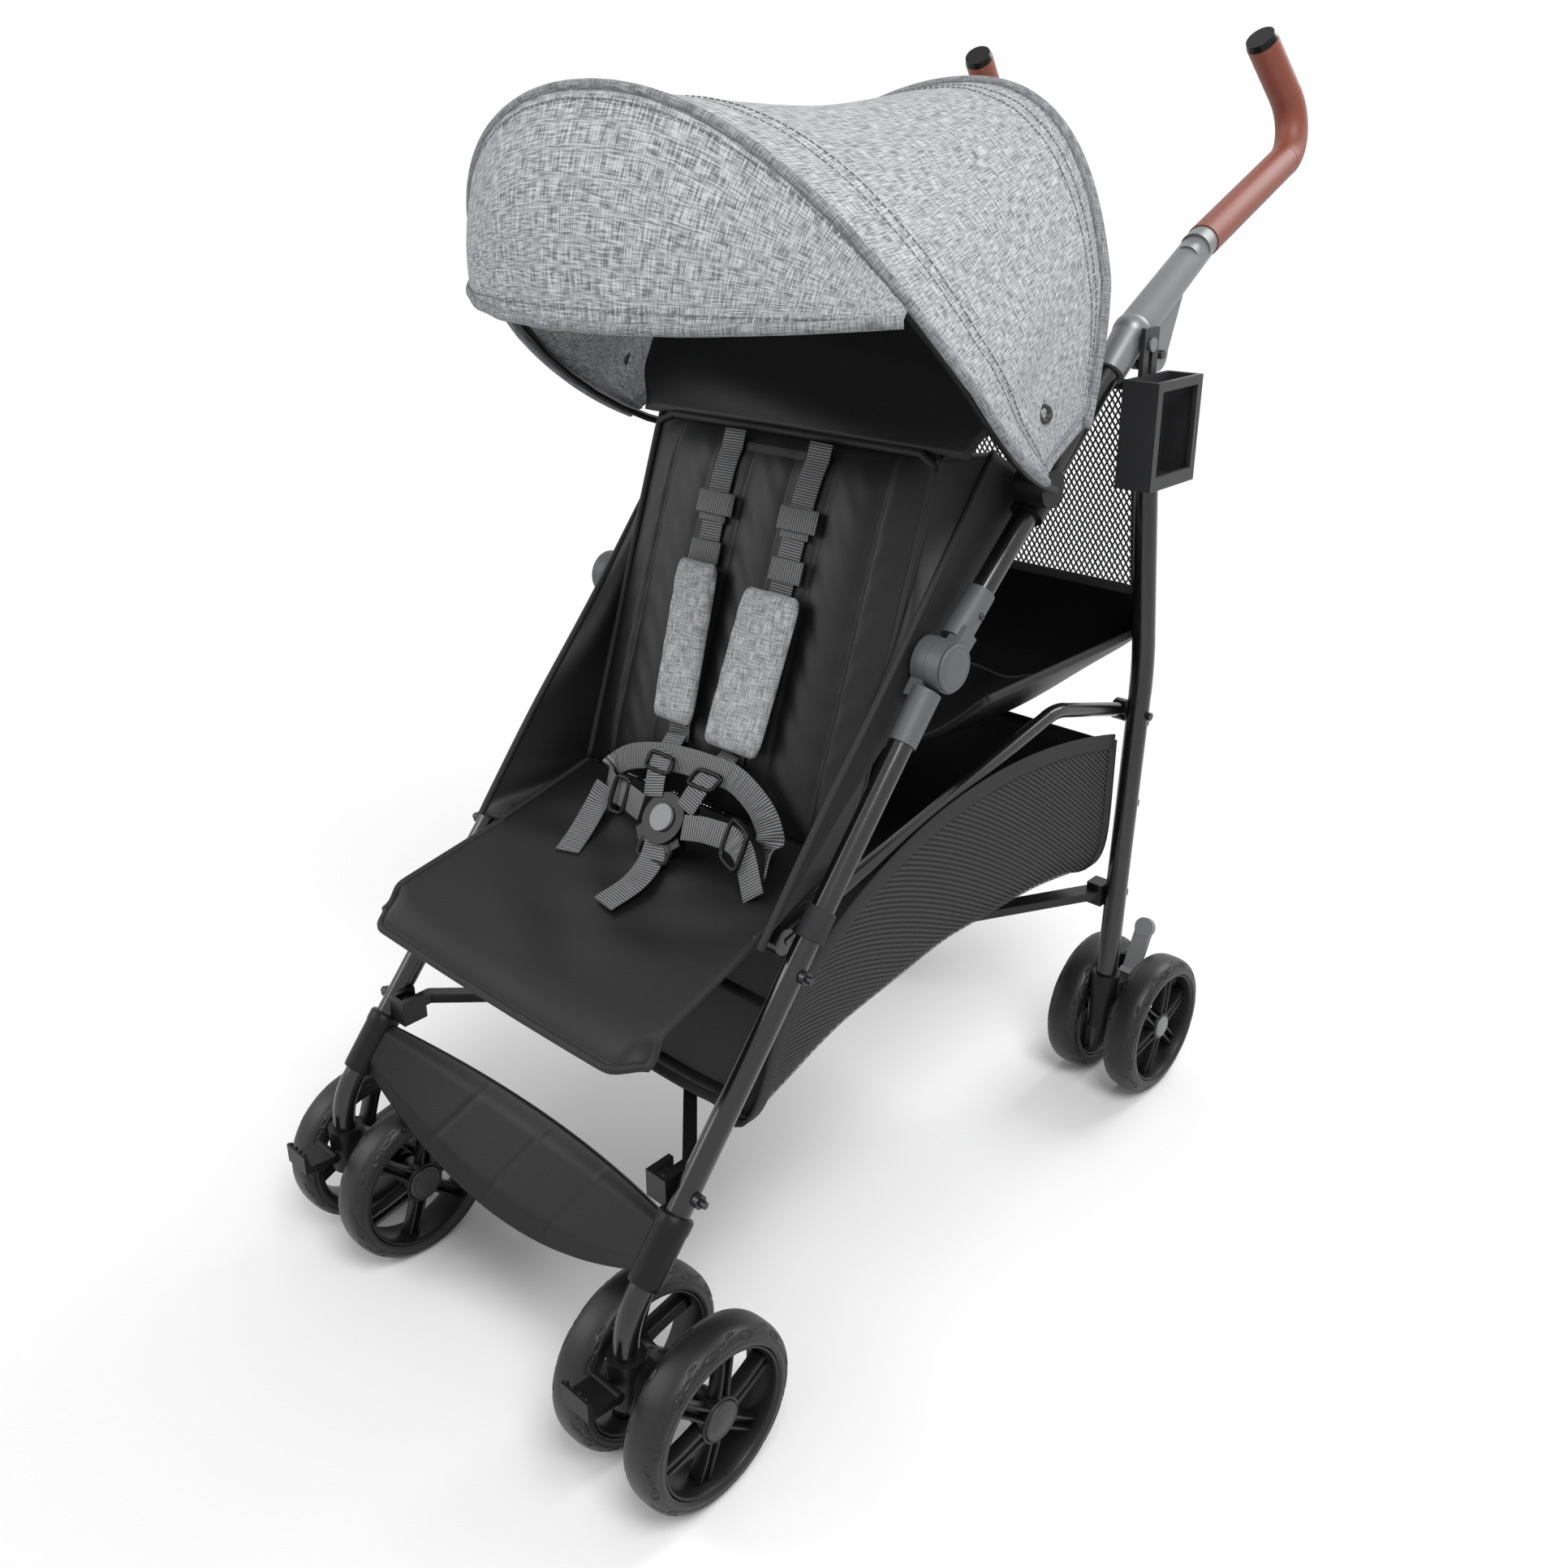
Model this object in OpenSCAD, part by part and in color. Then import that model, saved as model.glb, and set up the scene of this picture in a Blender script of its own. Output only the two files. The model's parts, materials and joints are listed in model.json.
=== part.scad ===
// Tandem stroller with two push handles, a hooded front seat, a rear jump seat and a basket.
// Millimetres. X runs across, the front is -Y, +Z is up. The origin is on the floor midway between the axles.

/* [Stance] */
// Distance between the front and rear axles
wheelbase = 688; // [670:1:700]
// Distance between the two front swivel axes
front_track = 388; // [380:1:396]
// Distance between the middles of the rear wheel pairs
rear_track = 376; // [372:1:380]

/* [Wheels] */
// Outer diameter of every wheel
wheel_d = 152; // [146:1:156]
// Width of a tyre
tyre_w = 36; // [30:1:38]
// Radial thickness of a tyre
tyre_t = 15; // [12:1:17]
// Distance between the two wheels of a front pair
front_pair = 82; // [80:1:88]
// Distance between the two wheels of a rear pair
rear_pair = 69; // [67:1:74]
// Diameter of the axles
axle_d = 8; // [6:0.5:10]
// Spokes on each wheel
spoke_count = 6; // [5:1:8]

/* [Casters] */
// Distance from the swivel axis back to the front axle
caster_trail = 43; // [38:1:46]
// Outer diameter of the swivel boss
swivel_boss_d = 30; // [27:1:33]
// Height of the bottom end of the front leg in the caster
stem_bottom_z = 104; // [100:1:110]

/* [Frame] */
// Diameter of the front leg and upper tubes
tube_d = 20; // [18:0.5:21]
// Wall of all tubes
tube_wall = 1.6; // [1.2:0.1:2.5]
// Diameter of the rear legs
rear_tube_d = 22; // [19:0.5:23]
// Fore and aft place of the folding hub
hub_y = -30; // [-40:1:-20]
// Height of the folding hub
hub_z = 582; // [570:1:595]
// Slope of the front legs
leg_slope = 49.5; // [48:0.5:51]
// Slope of the upper tubes
upper_slope = 42; // [40:0.5:44]
// Bend radius of the front legs above the casters
leg_bend_r = 65; // [50:1:75]
// Diameter of the folding hub
hub_d = 43; // [38:1:46]
// Fore and aft place of the pivot at the top of the rear legs
pivot_y = 272; // [266:1:278]
// Height of the pivot at the top of the rear legs
pivot_z = 794; // [786:1:800]
// Fore and aft place of the knee of the rear legs
knee_y = 318; // [312:1:322]
// Height of the knee of the rear legs
knee_z = 488; // [470:1:510]
// Diameter of the side rails
rail_d = 14; // [12:0.5:15]

/* [Handles] */
// Fore and aft place of the lower end of the grip
grip_y = 343; // [335:1:350]
// Height of the lower end of the grip
grip_z = 886; // [878:1:894]
// Outer diameter of the grips
grip_d = 30; // [27:0.5:33]
// Slope of the lower stretch of the grip
grip_slope = 21; // [16:1:26]
// Length of the lower stretch of the grip up to its corner
grip_reach = 241; // [220:1:255]
// Length of the upright stretch of the grip from its corner
grip_rise = 124; // [110:1:140]
// Direction of the upright stretch
grip_top_slope = 133; // [125:1:138]
// Inner bend radius line of the grip
grip_bend_r = 38; // [32:1:42]
// Inward lean of the grips
grip_lean = 11; // [6:1:13]

/* [Canopy] */
// Half width of the canopy
canopy_half_w = 260; // [250:1:266]
// Thickness of the canopy cloth
canopy_t = 2.5; // [2:0.5:4]
// Number of cloth fields across the canopy
canopy_steps = 28; // [20:2:32]

/* [Seats] */
// Half width of the front seat
seat_half_w = 160; // [150:1:164]
// Thickness of the back pad at its crown
pad_t = 18; // [12:1:24]
// Sewn channels in the back pad
pad_channels = 5; // [3:1:7]
// Number of net gaps across the rear seat's back
net_columns = 14; // [8:1:18]
// Number of net gaps up the rear seat's back
net_rows = 8; // [5:1:12]

/* [Cup holder] */
// Width of the cup holder
cup_w = 76; // [68:1:80]
// Depth of the cup holder out from the frame
cup_depth = 34; // [30:1:44]
// Height of the cup holder
cup_h = 92; // [84:1:98]
// Wall of the cup holder
cup_wall = 4; // [3:0.5:6]

/* [Hidden] */
$fn = 48;
// Extra length of every cut past the face that it opens
overrun = 2;
// Gap between neighbouring pieces that only lie against each other
lay_gap = 0.4;
// Radial room of a turning fit
fit_gap = 0.05;
// Radial room of a fixed fit
seat_gap = 0.02;
// How far a straight run reaches into a bend, and how much thicker the bend is all round
bend_lap = 2;
bend_swell = 0.15;

// Places that follow from the stance
axle_z = wheel_d / 2;
front_axle_y = -wheelbase / 2;
rear_axle_y = wheelbase / 2;
// Room that the seat needs inside the frame, and how far a wider seat spreads it
seat_room = 30;
spread = max(0, seat_half_w + seat_room - front_track / 2);
swivel_x = front_track / 2 + spread;
swivel_y = front_axle_y - caster_trail;
rear_x = rear_track / 2 + spread;
hub = [hub_y, hub_z];
pivot = [pivot_y, pivot_z];
knee = [knee_y, knee_z];

// Front leg: straight down the slope from the hub, then a bend into the upright swivel stem
leg_down = 180 + leg_slope;
leg_kink = [swivel_y, hub_z - (hub_y - swivel_y) * tan(leg_slope)];
stem_end = [swivel_y, stem_bottom_z];
hub_r = hub_d / 2;
hub_half_t = 13;
hub_pin_d = 8;
hub_head_d = 18;
hub_head_t = 2.5;
socket_start = hub_r + 3;
socket_len = 47;
socket_d = tube_d + 5;
leg_top = hub + (socket_start + socket_len / 4) * side_dir(leg_down);
upper_start = hub + (socket_start + socket_len / 4) * side_dir(upper_slope);
upper_len = 350;
upper_end = hub + upper_len * side_dir(upper_slope);

// Rear leg: from the eye at the top pivot over a knee to the wheel housing
foot_drop = 22;
foot = [rear_axle_y - 46, axle_z + foot_drop];
rear_top_angle = line_angle(pivot, knee);
rear_low_angle = line_angle(knee, foot);
eye_r = 12;
eye_t = 10;
eye_drop = 26;
eye_neck_t = 9;
eye_neck_w = 15;
rear_start = pivot + eye_drop * side_dir(rear_top_angle);
rear_bend_r = 300;

// Side rail: bent bar from the front leg to the rear leg, on the inner side of both
rail_x = rear_x - rear_tube_d / 2 - rail_d / 2 - lay_gap;
rail_front = along_leg(250);
rail_bend = [190, 472];
rail_rear_z = 437;
rail_rear = on_rear_leg(rail_rear_z);
rail_bend_r = 60;
rail_eye_t = 6;
rail_eye_r = 11;
rail_pin_d = 8;

// Brace under the seat: two arms hinged on the front legs, meeting the rear brace at a plate
knuckle = along_leg(448);
brace_tip_y = -130;
arm_w = 18;
arm_h = 9;
brace_pin_d = 8;
knuckle_w = 22;
knuckle_ear_t = 5;
eye_rim = 7;
knuckle_h = 24;
tip_r = 11;
tip_room = 3;
plate_t = 6;
clevis = [foot[0] + 6, 233];

// Foot plate between the front legs
sleeve_d = tube_d + 9;
sleeve_len = 56;
sleeve_run = 492;
foot_plate_t = 5;
sleeve_taper = 3;
leg_bolt_run = 268;

// Handle bracket
bracket_start = hub + (upper_len - 46) * side_dir(upper_slope);
bracket_neck = hub + upper_len * side_dir(upper_slope);
bracket_d = tube_d + 12;
grip_low = [grip_y, grip_z];
neck_angle = line_angle(bracket_neck, grip_low);
neck_len = norm(grip_low - bracket_neck);
cheek_t = 6;
ear_r = 15;
grip_core_d = 20;
core_len = 150;
neck_step = 2;
collar_len = 16;
collar_back = 7;
grip_corner = grip_low + grip_reach * side_dir(grip_slope);
grip_tip = grip_corner + grip_rise * side_dir(grip_top_slope);
cap_t = 6;
cap_taper = 3;

// Canopy bows: both turn on a clamp above the upper tube
clamp = [82, 708];
clamp_d = 32;
bow_d = 8;
// How far the feet of the bows stand out from the upper tubes, and the room between bows and cloth
clamp_reach = 38;
bow_room = 3.5;
bow_foot_x = swivel_x + clamp_reach;
bow_inset = canopy_t + bow_d / 2 + lay_gap + bow_room;
clamp_seat = 0.7;
clamp_face_x = bow_foot_x - bow_inset - bow_d / 2 + clamp_seat;
front_bow_line = [clamp, [-99, 760], [-207, 1007]];
rear_bow_line = [clamp, [94, 865], [233, 1021]];
bow_side_share = 0.96;
front_rise_share = 0.5;
rear_rise_share = 1.05;
front_foot_share = 0.006;
rear_foot_share = 0.0175;
cover_foot_share = 0.05;
visor_foot_share = 0.274;
canopy_sag = 16;
visor_low = [-236, 850];
hem_out = 4;
hem_ahead = 12;
foot_clear = 1.5;

// Front seat: the back leans on the line from its foot to its top
back_foot = [-104, 422];
back_top = [6, 738];
back_len = norm(back_top - back_foot);
back_angle = line_angle(back_foot, back_top);
seam_t = 4;
head_top = [74, 872];
head_half_w = 160;
base_front = [-340, 331];
base_mid = [-190, 366];
base_rear = back_foot + [-0.5, -0.4];
base_half_w = seat_half_w + 10;
base_rear_half_w = rail_x - rail_d / 2 - lay_gap;
base_dish = 28;
base_t = 12;
wing_t = 3;
wing_edge_x = swivel_x - hub_half_t - hub_head_t - 2 * lay_gap;
wing_low = [-196, 432];
wing_top = [57, 737];
strap_w = 25;
strap_t = 2;
pad_len = 150;
pad_w = 52;
pad_h = 15;
buckle_d = 46;
buckle_t = 14;
button_d = 24;
button_travel = 2.5;
buckle_at = [-146, 421];
buckle_tilt = 55;
strap_end_share = 0.615;
hip_share = 0.85;

// Rear seat, net and basket
sling_half_w = rear_x - rear_tube_d / 2 - 1;
sling_front_y = 66;
sling_rear_y = 338;
sling_edge_z = 520;
sling_depth = 104;
sling_t = 4;
net_top_z = 764;
net_low_z = 565;
net_border = 10;
net_cord = 3;
net_t = 3;
basket_t = 3;
basket_half_w = rail_x + rail_d / 2 + basket_t;
basket_top_line = [[-196, 334], [-10, 491], [286, 413]];
basket_low_line = [[-236, 250], [22, 292], [286, 252]];
basket_round_share = 0.3;
wall_foot_share = 0.985;

// Unit direction in the side plane, turned from the rear (+Y) towards the top (+Z)
function side_dir(angle) = [cos(angle), sin(angle)];
function line_angle(a, b) = atan2(b[1] - a[1], b[0] - a[0]);
function mix(a, b, t) = a + (b - a) * t;
// Point on the front leg's axis at a distance below the hub
function along_leg(run) = hub + run * side_dir(leg_down);
// Point on the rear leg's axis at a height
function on_rear_leg(z) = z > knee_z
    ? mix(knee, pivot, (z - knee_z) / (pivot_z - knee_z))
    : mix(foot, knee, (z - foot[1]) / (knee_z - foot[1]));
// Smallest turn from one direction to another
function turn_of(a, b) = let(t = b - a) t > 180 ? t - 360 : t < -180 ? t + 360 : t;
// Quadratic curve through three side points, at t from 0 to 1
function bend_line(p, t) = (1 - t) * (1 - t) * p[0] + 2 * t * (1 - t) * p[1] + t * t * p[2];
function power(x, n) = x <= 0 ? 0 : pow(x, n);
function unit(v) = v / norm(v);
// Fullness across a pad, 0 at both edges and close to 1 between them
function full(s, n) = 1 - pow(abs(2 * s - 1), n);

// Round bar in the side plane at x, from p along an angle
module bar(x, p, angle, run, d, d_end) {
    translate([x, p[0], p[1]])
        rotate([angle - 90, 0, 0])
            cylinder(h = run, d1 = d, d2 = is_undef(d_end) ? d : d_end);
}

// Round bar along X, from x_low, at a side point
module cross_bar(x_low, p, run, d) {
    translate([x_low, p[0], p[1]])
        rotate([0, 90, 0])
            cylinder(h = run, d = d);
}

// Plate of a side outline, thick along X from x_low
module side_plate(x_low, thick) {
    translate([x_low, 0, 0])
        rotate([90, 0, 90])
            linear_extrude(thick)
                children();
}

// Round bar along a bent path in the side plane at x
module bent_bar(x, path, r, d) {
    last = len(path) - 1;
    angles = [for (i = [0:last - 1]) line_angle(path[i], path[i + 1])];
    turns = [for (i = [0:last - 2]) turn_of(angles[i], angles[i + 1])];
    cuts = concat([0], [for (t = turns) r * tan(abs(t) / 2)], [0]);
    for (i = [0:last - 1]) {
        lap_start = i > 0 ? bend_lap : 0;
        lap_end = i < last - 1 ? bend_lap : 0;
        start = path[i] + (cuts[i] - lap_start) * side_dir(angles[i]);
        bar(x, start, angles[i], norm(path[i + 1] - path[i]) - cuts[i] - cuts[i + 1] + lap_start + lap_end, d);
    }
    for (i = [0:last - 2]) {
        way = turns[i] > 0 ? 1 : -1;
        start = path[i + 1] - cuts[i + 1] * side_dir(angles[i]);
        middle = start + r * side_dir(angles[i] + way * 90);
        low = way > 0 ? angles[i] - 90 : angles[i] + 90 + turns[i];
        translate([x, middle[0], middle[1]])
            rotate([90, 0, 90])
                rotate([0, 0, low])
                    rotate_extrude(angle = abs(turns[i]))
                        translate([r, 0])
                            circle(d = d + 2 * bend_swell);
    }
}

// The same path with its first and last points moved outwards along it
function stretched(path, at_start, at_end) = let(last = len(path) - 1) concat(
    [path[0] - at_start * side_dir(line_angle(path[0], path[1]))],
    [for (i = [1:1:last - 1]) path[i]],
    [path[last] + at_end * side_dir(line_angle(path[last - 1], path[last]))]
);

// Closed solid between two surfaces over a grid, both functions of shares u and v
module cloth(nu, nv, face, lining) {
    row = nv + 1;
    size = (nu + 1) * row;
    points = concat(
        [for (i = [0:nu]) for (j = [0:nv]) face(i / nu, j / nv)],
        [for (i = [0:nu]) for (j = [0:nv]) lining(i / nu, j / nv)]
    );
    at = function(i, j) i * row + j;
    skin = [
        for (i = [0:nu - 1]) for (j = [0:nv - 1]) each [
            [at(i, j), at(i, j + 1), at(i + 1, j + 1)],
            [at(i, j), at(i + 1, j + 1), at(i + 1, j)],
            [size + at(i, j), size + at(i + 1, j + 1), size + at(i, j + 1)],
            [size + at(i, j), size + at(i + 1, j), size + at(i + 1, j + 1)]
        ]
    ];
    sides = [
        for (j = [0:nv - 1]) each [
            [at(0, j), size + at(0, j), size + at(0, j + 1)],
            [at(0, j), size + at(0, j + 1), at(0, j + 1)],
            [at(nu, j), at(nu, j + 1), size + at(nu, j + 1)],
            [at(nu, j), size + at(nu, j + 1), size + at(nu, j)]
        ]
    ];
    ends = [
        for (i = [0:nu - 1]) each [
            [at(i, 0), at(i + 1, 0), size + at(i + 1, 0)],
            [at(i, 0), size + at(i + 1, 0), size + at(i, 0)],
            [at(i + 1, nv), at(i, nv), size + at(i, nv)],
            [at(i + 1, nv), size + at(i, nv), size + at(i + 1, nv)]
        ]
    ];
    polyhedron(points = points, faces = concat(skin, sides, ends), convexity = 6);
}

// Mirrored copy for the left side
module left() {
    mirror([1, 0, 0])
        children();
}

module both() {
    children();
    left() children();
}

// Front legs and what is fixed on them
module front_leg() {
    color("#1b1b1d")
        difference() {
            bent_bar(swivel_x, [leg_top, leg_kink, stem_end], leg_bend_r, tube_d);
            bar(swivel_x, leg_top - overrun * side_dir(leg_down), leg_down,
                norm(leg_kink - leg_top) - leg_bend_r * tan((90 - leg_slope) / 2) - bend_lap, tube_d - 2 * tube_wall);
        }
}

// Half of the folding hub with its tube socket; way is 1 for the outer half and -1 for the inner one
module hub_half(angle, way) {
    low_x = way > 0 ? swivel_x + lay_gap / 2 : swivel_x - lay_gap / 2 - hub_half_t;
    start = hub + socket_start * side_dir(angle);
    neck_w = socket_d * 0.8;
    cross_bar(low_x, hub, hub_half_t, hub_d);
    difference() {
        union() {
            bar(swivel_x, start, angle, socket_len, socket_d, socket_d - 1);
            translate([low_x, hub[0], hub[1]])
                rotate([angle - 90, 0, 0])
                    translate([0, -neck_w / 2, 0])
                        cube([hub_half_t - 1, neck_w, socket_start + socket_len / 5]);
        }
        bar(swivel_x, hub + (socket_start + socket_len / 4 - lay_gap) * side_dir(angle), angle, socket_len,
            tube_d + 2 * seat_gap);
    }
}

module hub_lower() {
    color("#5a5c5e")
        difference() {
            hub_half(leg_down, -1);
            cross_bar(swivel_x - hub_half_t - overrun, hub, 2 * hub_half_t, hub_pin_d + 2 * fit_gap);
        }
}

module hub_upper() {
    color("#66686a") {
        hub_half(upper_slope, 1);
        cross_bar(swivel_x - hub_half_t - lay_gap, hub, hub_half_t + lay_gap + 1, hub_pin_d);
        cross_bar(swivel_x - hub_half_t - lay_gap - hub_head_t, hub, hub_head_t, hub_head_d);
        cross_bar(swivel_x + hub_half_t, hub, hub_head_t, hub_head_d);
    }
}

// Foot plate: a moulded web, widest in the middle, with a sleeve round each leg
module footrest() {
    web_x = swivel_x - sleeve_d / 2 + 3;
    top_run = 470;
    low_run = 514;
    belly = 40;
    dip = 26;
    lift = 6;
    web = function(u, v, off) let(
        s = 2 * u - 1,
        p = along_leg(mix(low_run, top_run, v) + belly * full(u, 2) * (1 - v) - lift * full(u, 2) * v),
        back = dip * full(u, 2) + off
    ) [s * web_x, p[0] + back * sin(leg_slope), p[1] - back * cos(leg_slope)];
    color("#141415") {
        cloth(16, 5, function(u, v) web(u, v, 0), function(u, v) web(u, v, foot_plate_t));
        both()
            difference() {
                bar(swivel_x, along_leg(sleeve_run - sleeve_len / 2), leg_down, sleeve_len, sleeve_d, sleeve_d - sleeve_taper);
                bar(swivel_x, along_leg(sleeve_run - sleeve_len), leg_down, 2 * sleeve_len, tube_d + 2 * seat_gap);
            }
    }
}

// Brackets on the inner side of the front legs, with the pins that the front brace turns on
module brace_knuckles() {
    low_x = swivel_x - tube_d / 2 - knuckle_w;
    ear_t = knuckle_ear_t;
    color("#161617")
        both() {
            difference() {
                translate([low_x, knuckle[0] - knuckle_h / 2, knuckle[1] - knuckle_h / 2])
                    cube([knuckle_w - lay_gap, knuckle_h, knuckle_h]);
                translate([low_x + ear_t, knuckle[0] - arm_h, knuckle[1] - knuckle_h])
                    cube([knuckle_w - 2 * ear_t, knuckle_h * 2, knuckle_h * 2]);
            }
            cross_bar(low_x + ear_t / 2, knuckle, knuckle_w - ear_t, brace_pin_d);
        }
}

// Two arms from the knuckles to a shared tip under the seat, each leaving its knuckle by a straight tongue
module front_brace() {
    eye_w = knuckle_w - 2 * knuckle_ear_t - 2 * lay_gap;
    eye_x = swivel_x - tube_d / 2 - knuckle_w + knuckle_ear_t + lay_gap;
    mid_x = eye_x + eye_w / 2;
    tongue = knuckle_h * 0.72 + eye_w / 2;
    bend_y = knuckle[0] + tongue;
    plan_angle = atan2(mid_x, brace_tip_y - bend_y);
    arm_len = norm([mid_x, brace_tip_y - bend_y]);
    low_z = knuckle[1] - arm_h / 2;
    color("#161617")
        difference() {
            union() {
                both() {
                    translate([eye_x, knuckle[0], low_z])
                        cube([eye_w, tongue, arm_h]);
                    translate([mid_x, bend_y, low_z])
                        cylinder(h = arm_h, d = eye_w);
                    translate([mid_x, bend_y, low_z])
                        rotate([0, 0, plan_angle])
                            translate([-eye_w / 2, 0, 0])
                                cube([eye_w, arm_len, arm_h]);
                    cross_bar(eye_x, knuckle, eye_w, arm_h + eye_rim);
                }
                translate([0, brace_tip_y, low_z])
                    cylinder(h = arm_h, r = tip_r);
            }
            both()
                cross_bar(eye_x - overrun, knuckle, eye_w + 2 * overrun, brace_pin_d + 2 * fit_gap);
        }
}

// Bolts with domed nuts on the front legs
bolt_d = 6;
nut_d = 11;
nut_t = 5;
module bolt_end(x, p) {
    cross_bar(x, p, nut_t, nut_d);
    cross_bar(x + nut_t, p, nut_t, bolt_d);
}

module front_bolts() {
    color("#3a3b3d")
        both() {
            bolt_end(swivel_x + tube_d / 2, knuckle);
            bolt_end(swivel_x + tube_d / 2, along_leg(leg_bolt_run));
        }
}

// Casters
fork_arm_t = 30;
fork_boss_d = 26;
fork_boss_w = front_pair - tyre_w - 5;
swivel_top_z = 136;
module caster_fork() {
    boss_low_z = stem_bottom_z - 10;
    color("#19191a")
        difference() {
            union() {
                translate([swivel_x, swivel_y, boss_low_z])
                    cylinder(h = swivel_top_z - boss_low_z, d = swivel_boss_d);
                cross_bar(swivel_x - fork_boss_w / 2, [front_axle_y, axle_z], fork_boss_w, fork_boss_d);
                side_plate(swivel_x - fork_arm_t / 2, fork_arm_t)
                    polygon([
                        [swivel_y - swivel_boss_d / 2 * 0.7, boss_low_z],
                        [swivel_y, swivel_top_z - 8],
                        [swivel_y + swivel_boss_d / 2, swivel_top_z - 8],
                        [front_axle_y + fork_boss_d / 3, axle_z + fork_boss_d / 3],
                        [front_axle_y, axle_z - fork_boss_d / 2],
                        [front_axle_y - fork_boss_d / 3, axle_z - fork_boss_d / 3]
                    ]);
            }
            translate([swivel_x, swivel_y, stem_bottom_z - lay_gap])
                cylinder(h = swivel_top_z, d = tube_d + 2 * fit_gap);
            cross_bar(swivel_x - front_pair, [front_axle_y, axle_z], 2 * front_pair, axle_d + 2 * fit_gap);
        }
}

// Swivel lock: a lipped tab hinged on the front of the caster boss
lock_pivot = [swivel_y - swivel_boss_d / 2 - 5, 118];
lock_w = 30;
lock_t = 6;
lock_reach = 24;
module swivel_lock() {
    pin_d = 7;
    color("#202021")
        difference() {
            union() {
                cross_bar(swivel_x - lock_w / 2, lock_pivot, lock_w, 2 * pin_d - 5);
                side_plate(swivel_x - lock_w / 2, lock_w)
                    polygon([
                        lock_pivot + [0, pin_d / 2],
                        lock_pivot + [-lock_reach, lock_t],
                        lock_pivot + [-lock_reach - lock_t / 2, lock_t * 3],
                        lock_pivot + [-lock_reach - lock_t, lock_t * 3],
                        lock_pivot + [-lock_reach - lock_t, 0],
                        lock_pivot + [0, -pin_d / 2]
                    ]);
                for (i = [0:3])
                    translate([swivel_x - lock_w / 2 + lock_w * (i + 0.5) / 4, 0, 0])
                        cross_bar(-1, lock_pivot + [-lock_reach - lock_t / 2, lock_t * 3], 2, lock_t / 2);
            }
        }
}

// Wheels: a pair on one axle, at a side point and a lateral middle
rim_r = wheel_d / 2 - tyre_t;
rim_wall = 4;
rim_w = tyre_w - 6;
rim_hub_d = 34;
rim_hub_w = tyre_w - 8;
spoke_t = 4;
spoke_gap = 6;
cap_d = 36;
cap_rise = 3;

module tyre(x, p) {
    shoulder = 10;
    band_w = tyre_w - 2 * shoulder;
    translate([x, p[0], p[1]])
        rotate([0, 90, 0])
            rotate_extrude()
                difference() {
                    union() {
                        translate([rim_r, -tyre_w / 2 + shoulder / 2])
                            square([tyre_t - shoulder, tyre_w - shoulder]);
                        translate([rim_r + tyre_t - shoulder, -band_w / 2])
                            square([shoulder, band_w]);
                        for (side = [-1, 1])
                            translate([rim_r + tyre_t - shoulder, side * band_w / 2])
                                circle(r = shoulder);
                    }
                    translate([rim_r - 2 * tyre_t, -tyre_w])
                        square([2 * tyre_t, 2 * tyre_w]);
                }
}

module rim(x, p, way) {
    translate([x, p[0], p[1]])
        rotate([0, way * 90, 0]) {
            difference() {
                cylinder(h = rim_w, r = rim_r - seat_gap, center = true);
                cylinder(h = rim_w + overrun, r = rim_r - rim_wall, center = true);
            }
            difference() {
                cylinder(h = rim_hub_w, d = rim_hub_d, center = true);
                translate([0, 0, -rim_hub_w])
                    cylinder(h = 2 * rim_hub_w - cap_rise, d = axle_d + 2 * seat_gap);
            }
            translate([0, 0, rim_hub_w / 2 - 1])
                cylinder(h = cap_rise + 1, d1 = cap_d, d2 = cap_d - cap_rise);
            for (i = [0:spoke_count - 1])
                rotate([0, 0, i * 360 / spoke_count])
                    for (side = [-1, 1])
                        translate([rim_hub_d / 2 - 2, side * (spoke_gap + spoke_t) / 2 - spoke_t / 2, -rim_w / 4])
                            cube([rim_r - rim_wall / 2 - rim_hub_d / 2 + 2, spoke_t, rim_w / 2]);
        }
}

module wheel_axle(x, p, pair) {
    run = pair + rim_hub_w - 2 * cap_rise;
    color("#b9bbbd")
        cross_bar(x - run / 2, p, run, axle_d);
}

module tyre_pair(x, p, pair) {
    color("#19191a")
        for (way = [-1, 1])
            tyre(x + way * pair / 2, p);
}

module rim_pair(x, p, pair) {
    color("#232425")
        for (way = [-1, 1])
            rim(x + way * pair / 2, p, way);
}

front_wheel_at = [front_axle_y, axle_z];
rear_wheel_at = [rear_axle_y, axle_z];

// Upper frame
module upper_tube() {
    color("#1b1b1d")
        difference() {
            bar(swivel_x, upper_start, upper_slope, norm(upper_end - upper_start), tube_d);
            bar(swivel_x, upper_start - overrun * side_dir(upper_slope), upper_slope, upper_len + 2 * overrun,
                tube_d - 2 * tube_wall);
        }
}

// Inward lean of what lies above the handle bracket, about the lower end of the grip
module lean_in() {
    translate([swivel_x, 0, grip_z])
        rotate([0, -grip_lean, 0])
            translate([-swivel_x, 0, -grip_z])
                children();
}

grip_path = [grip_low, grip_corner, grip_tip];

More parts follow.
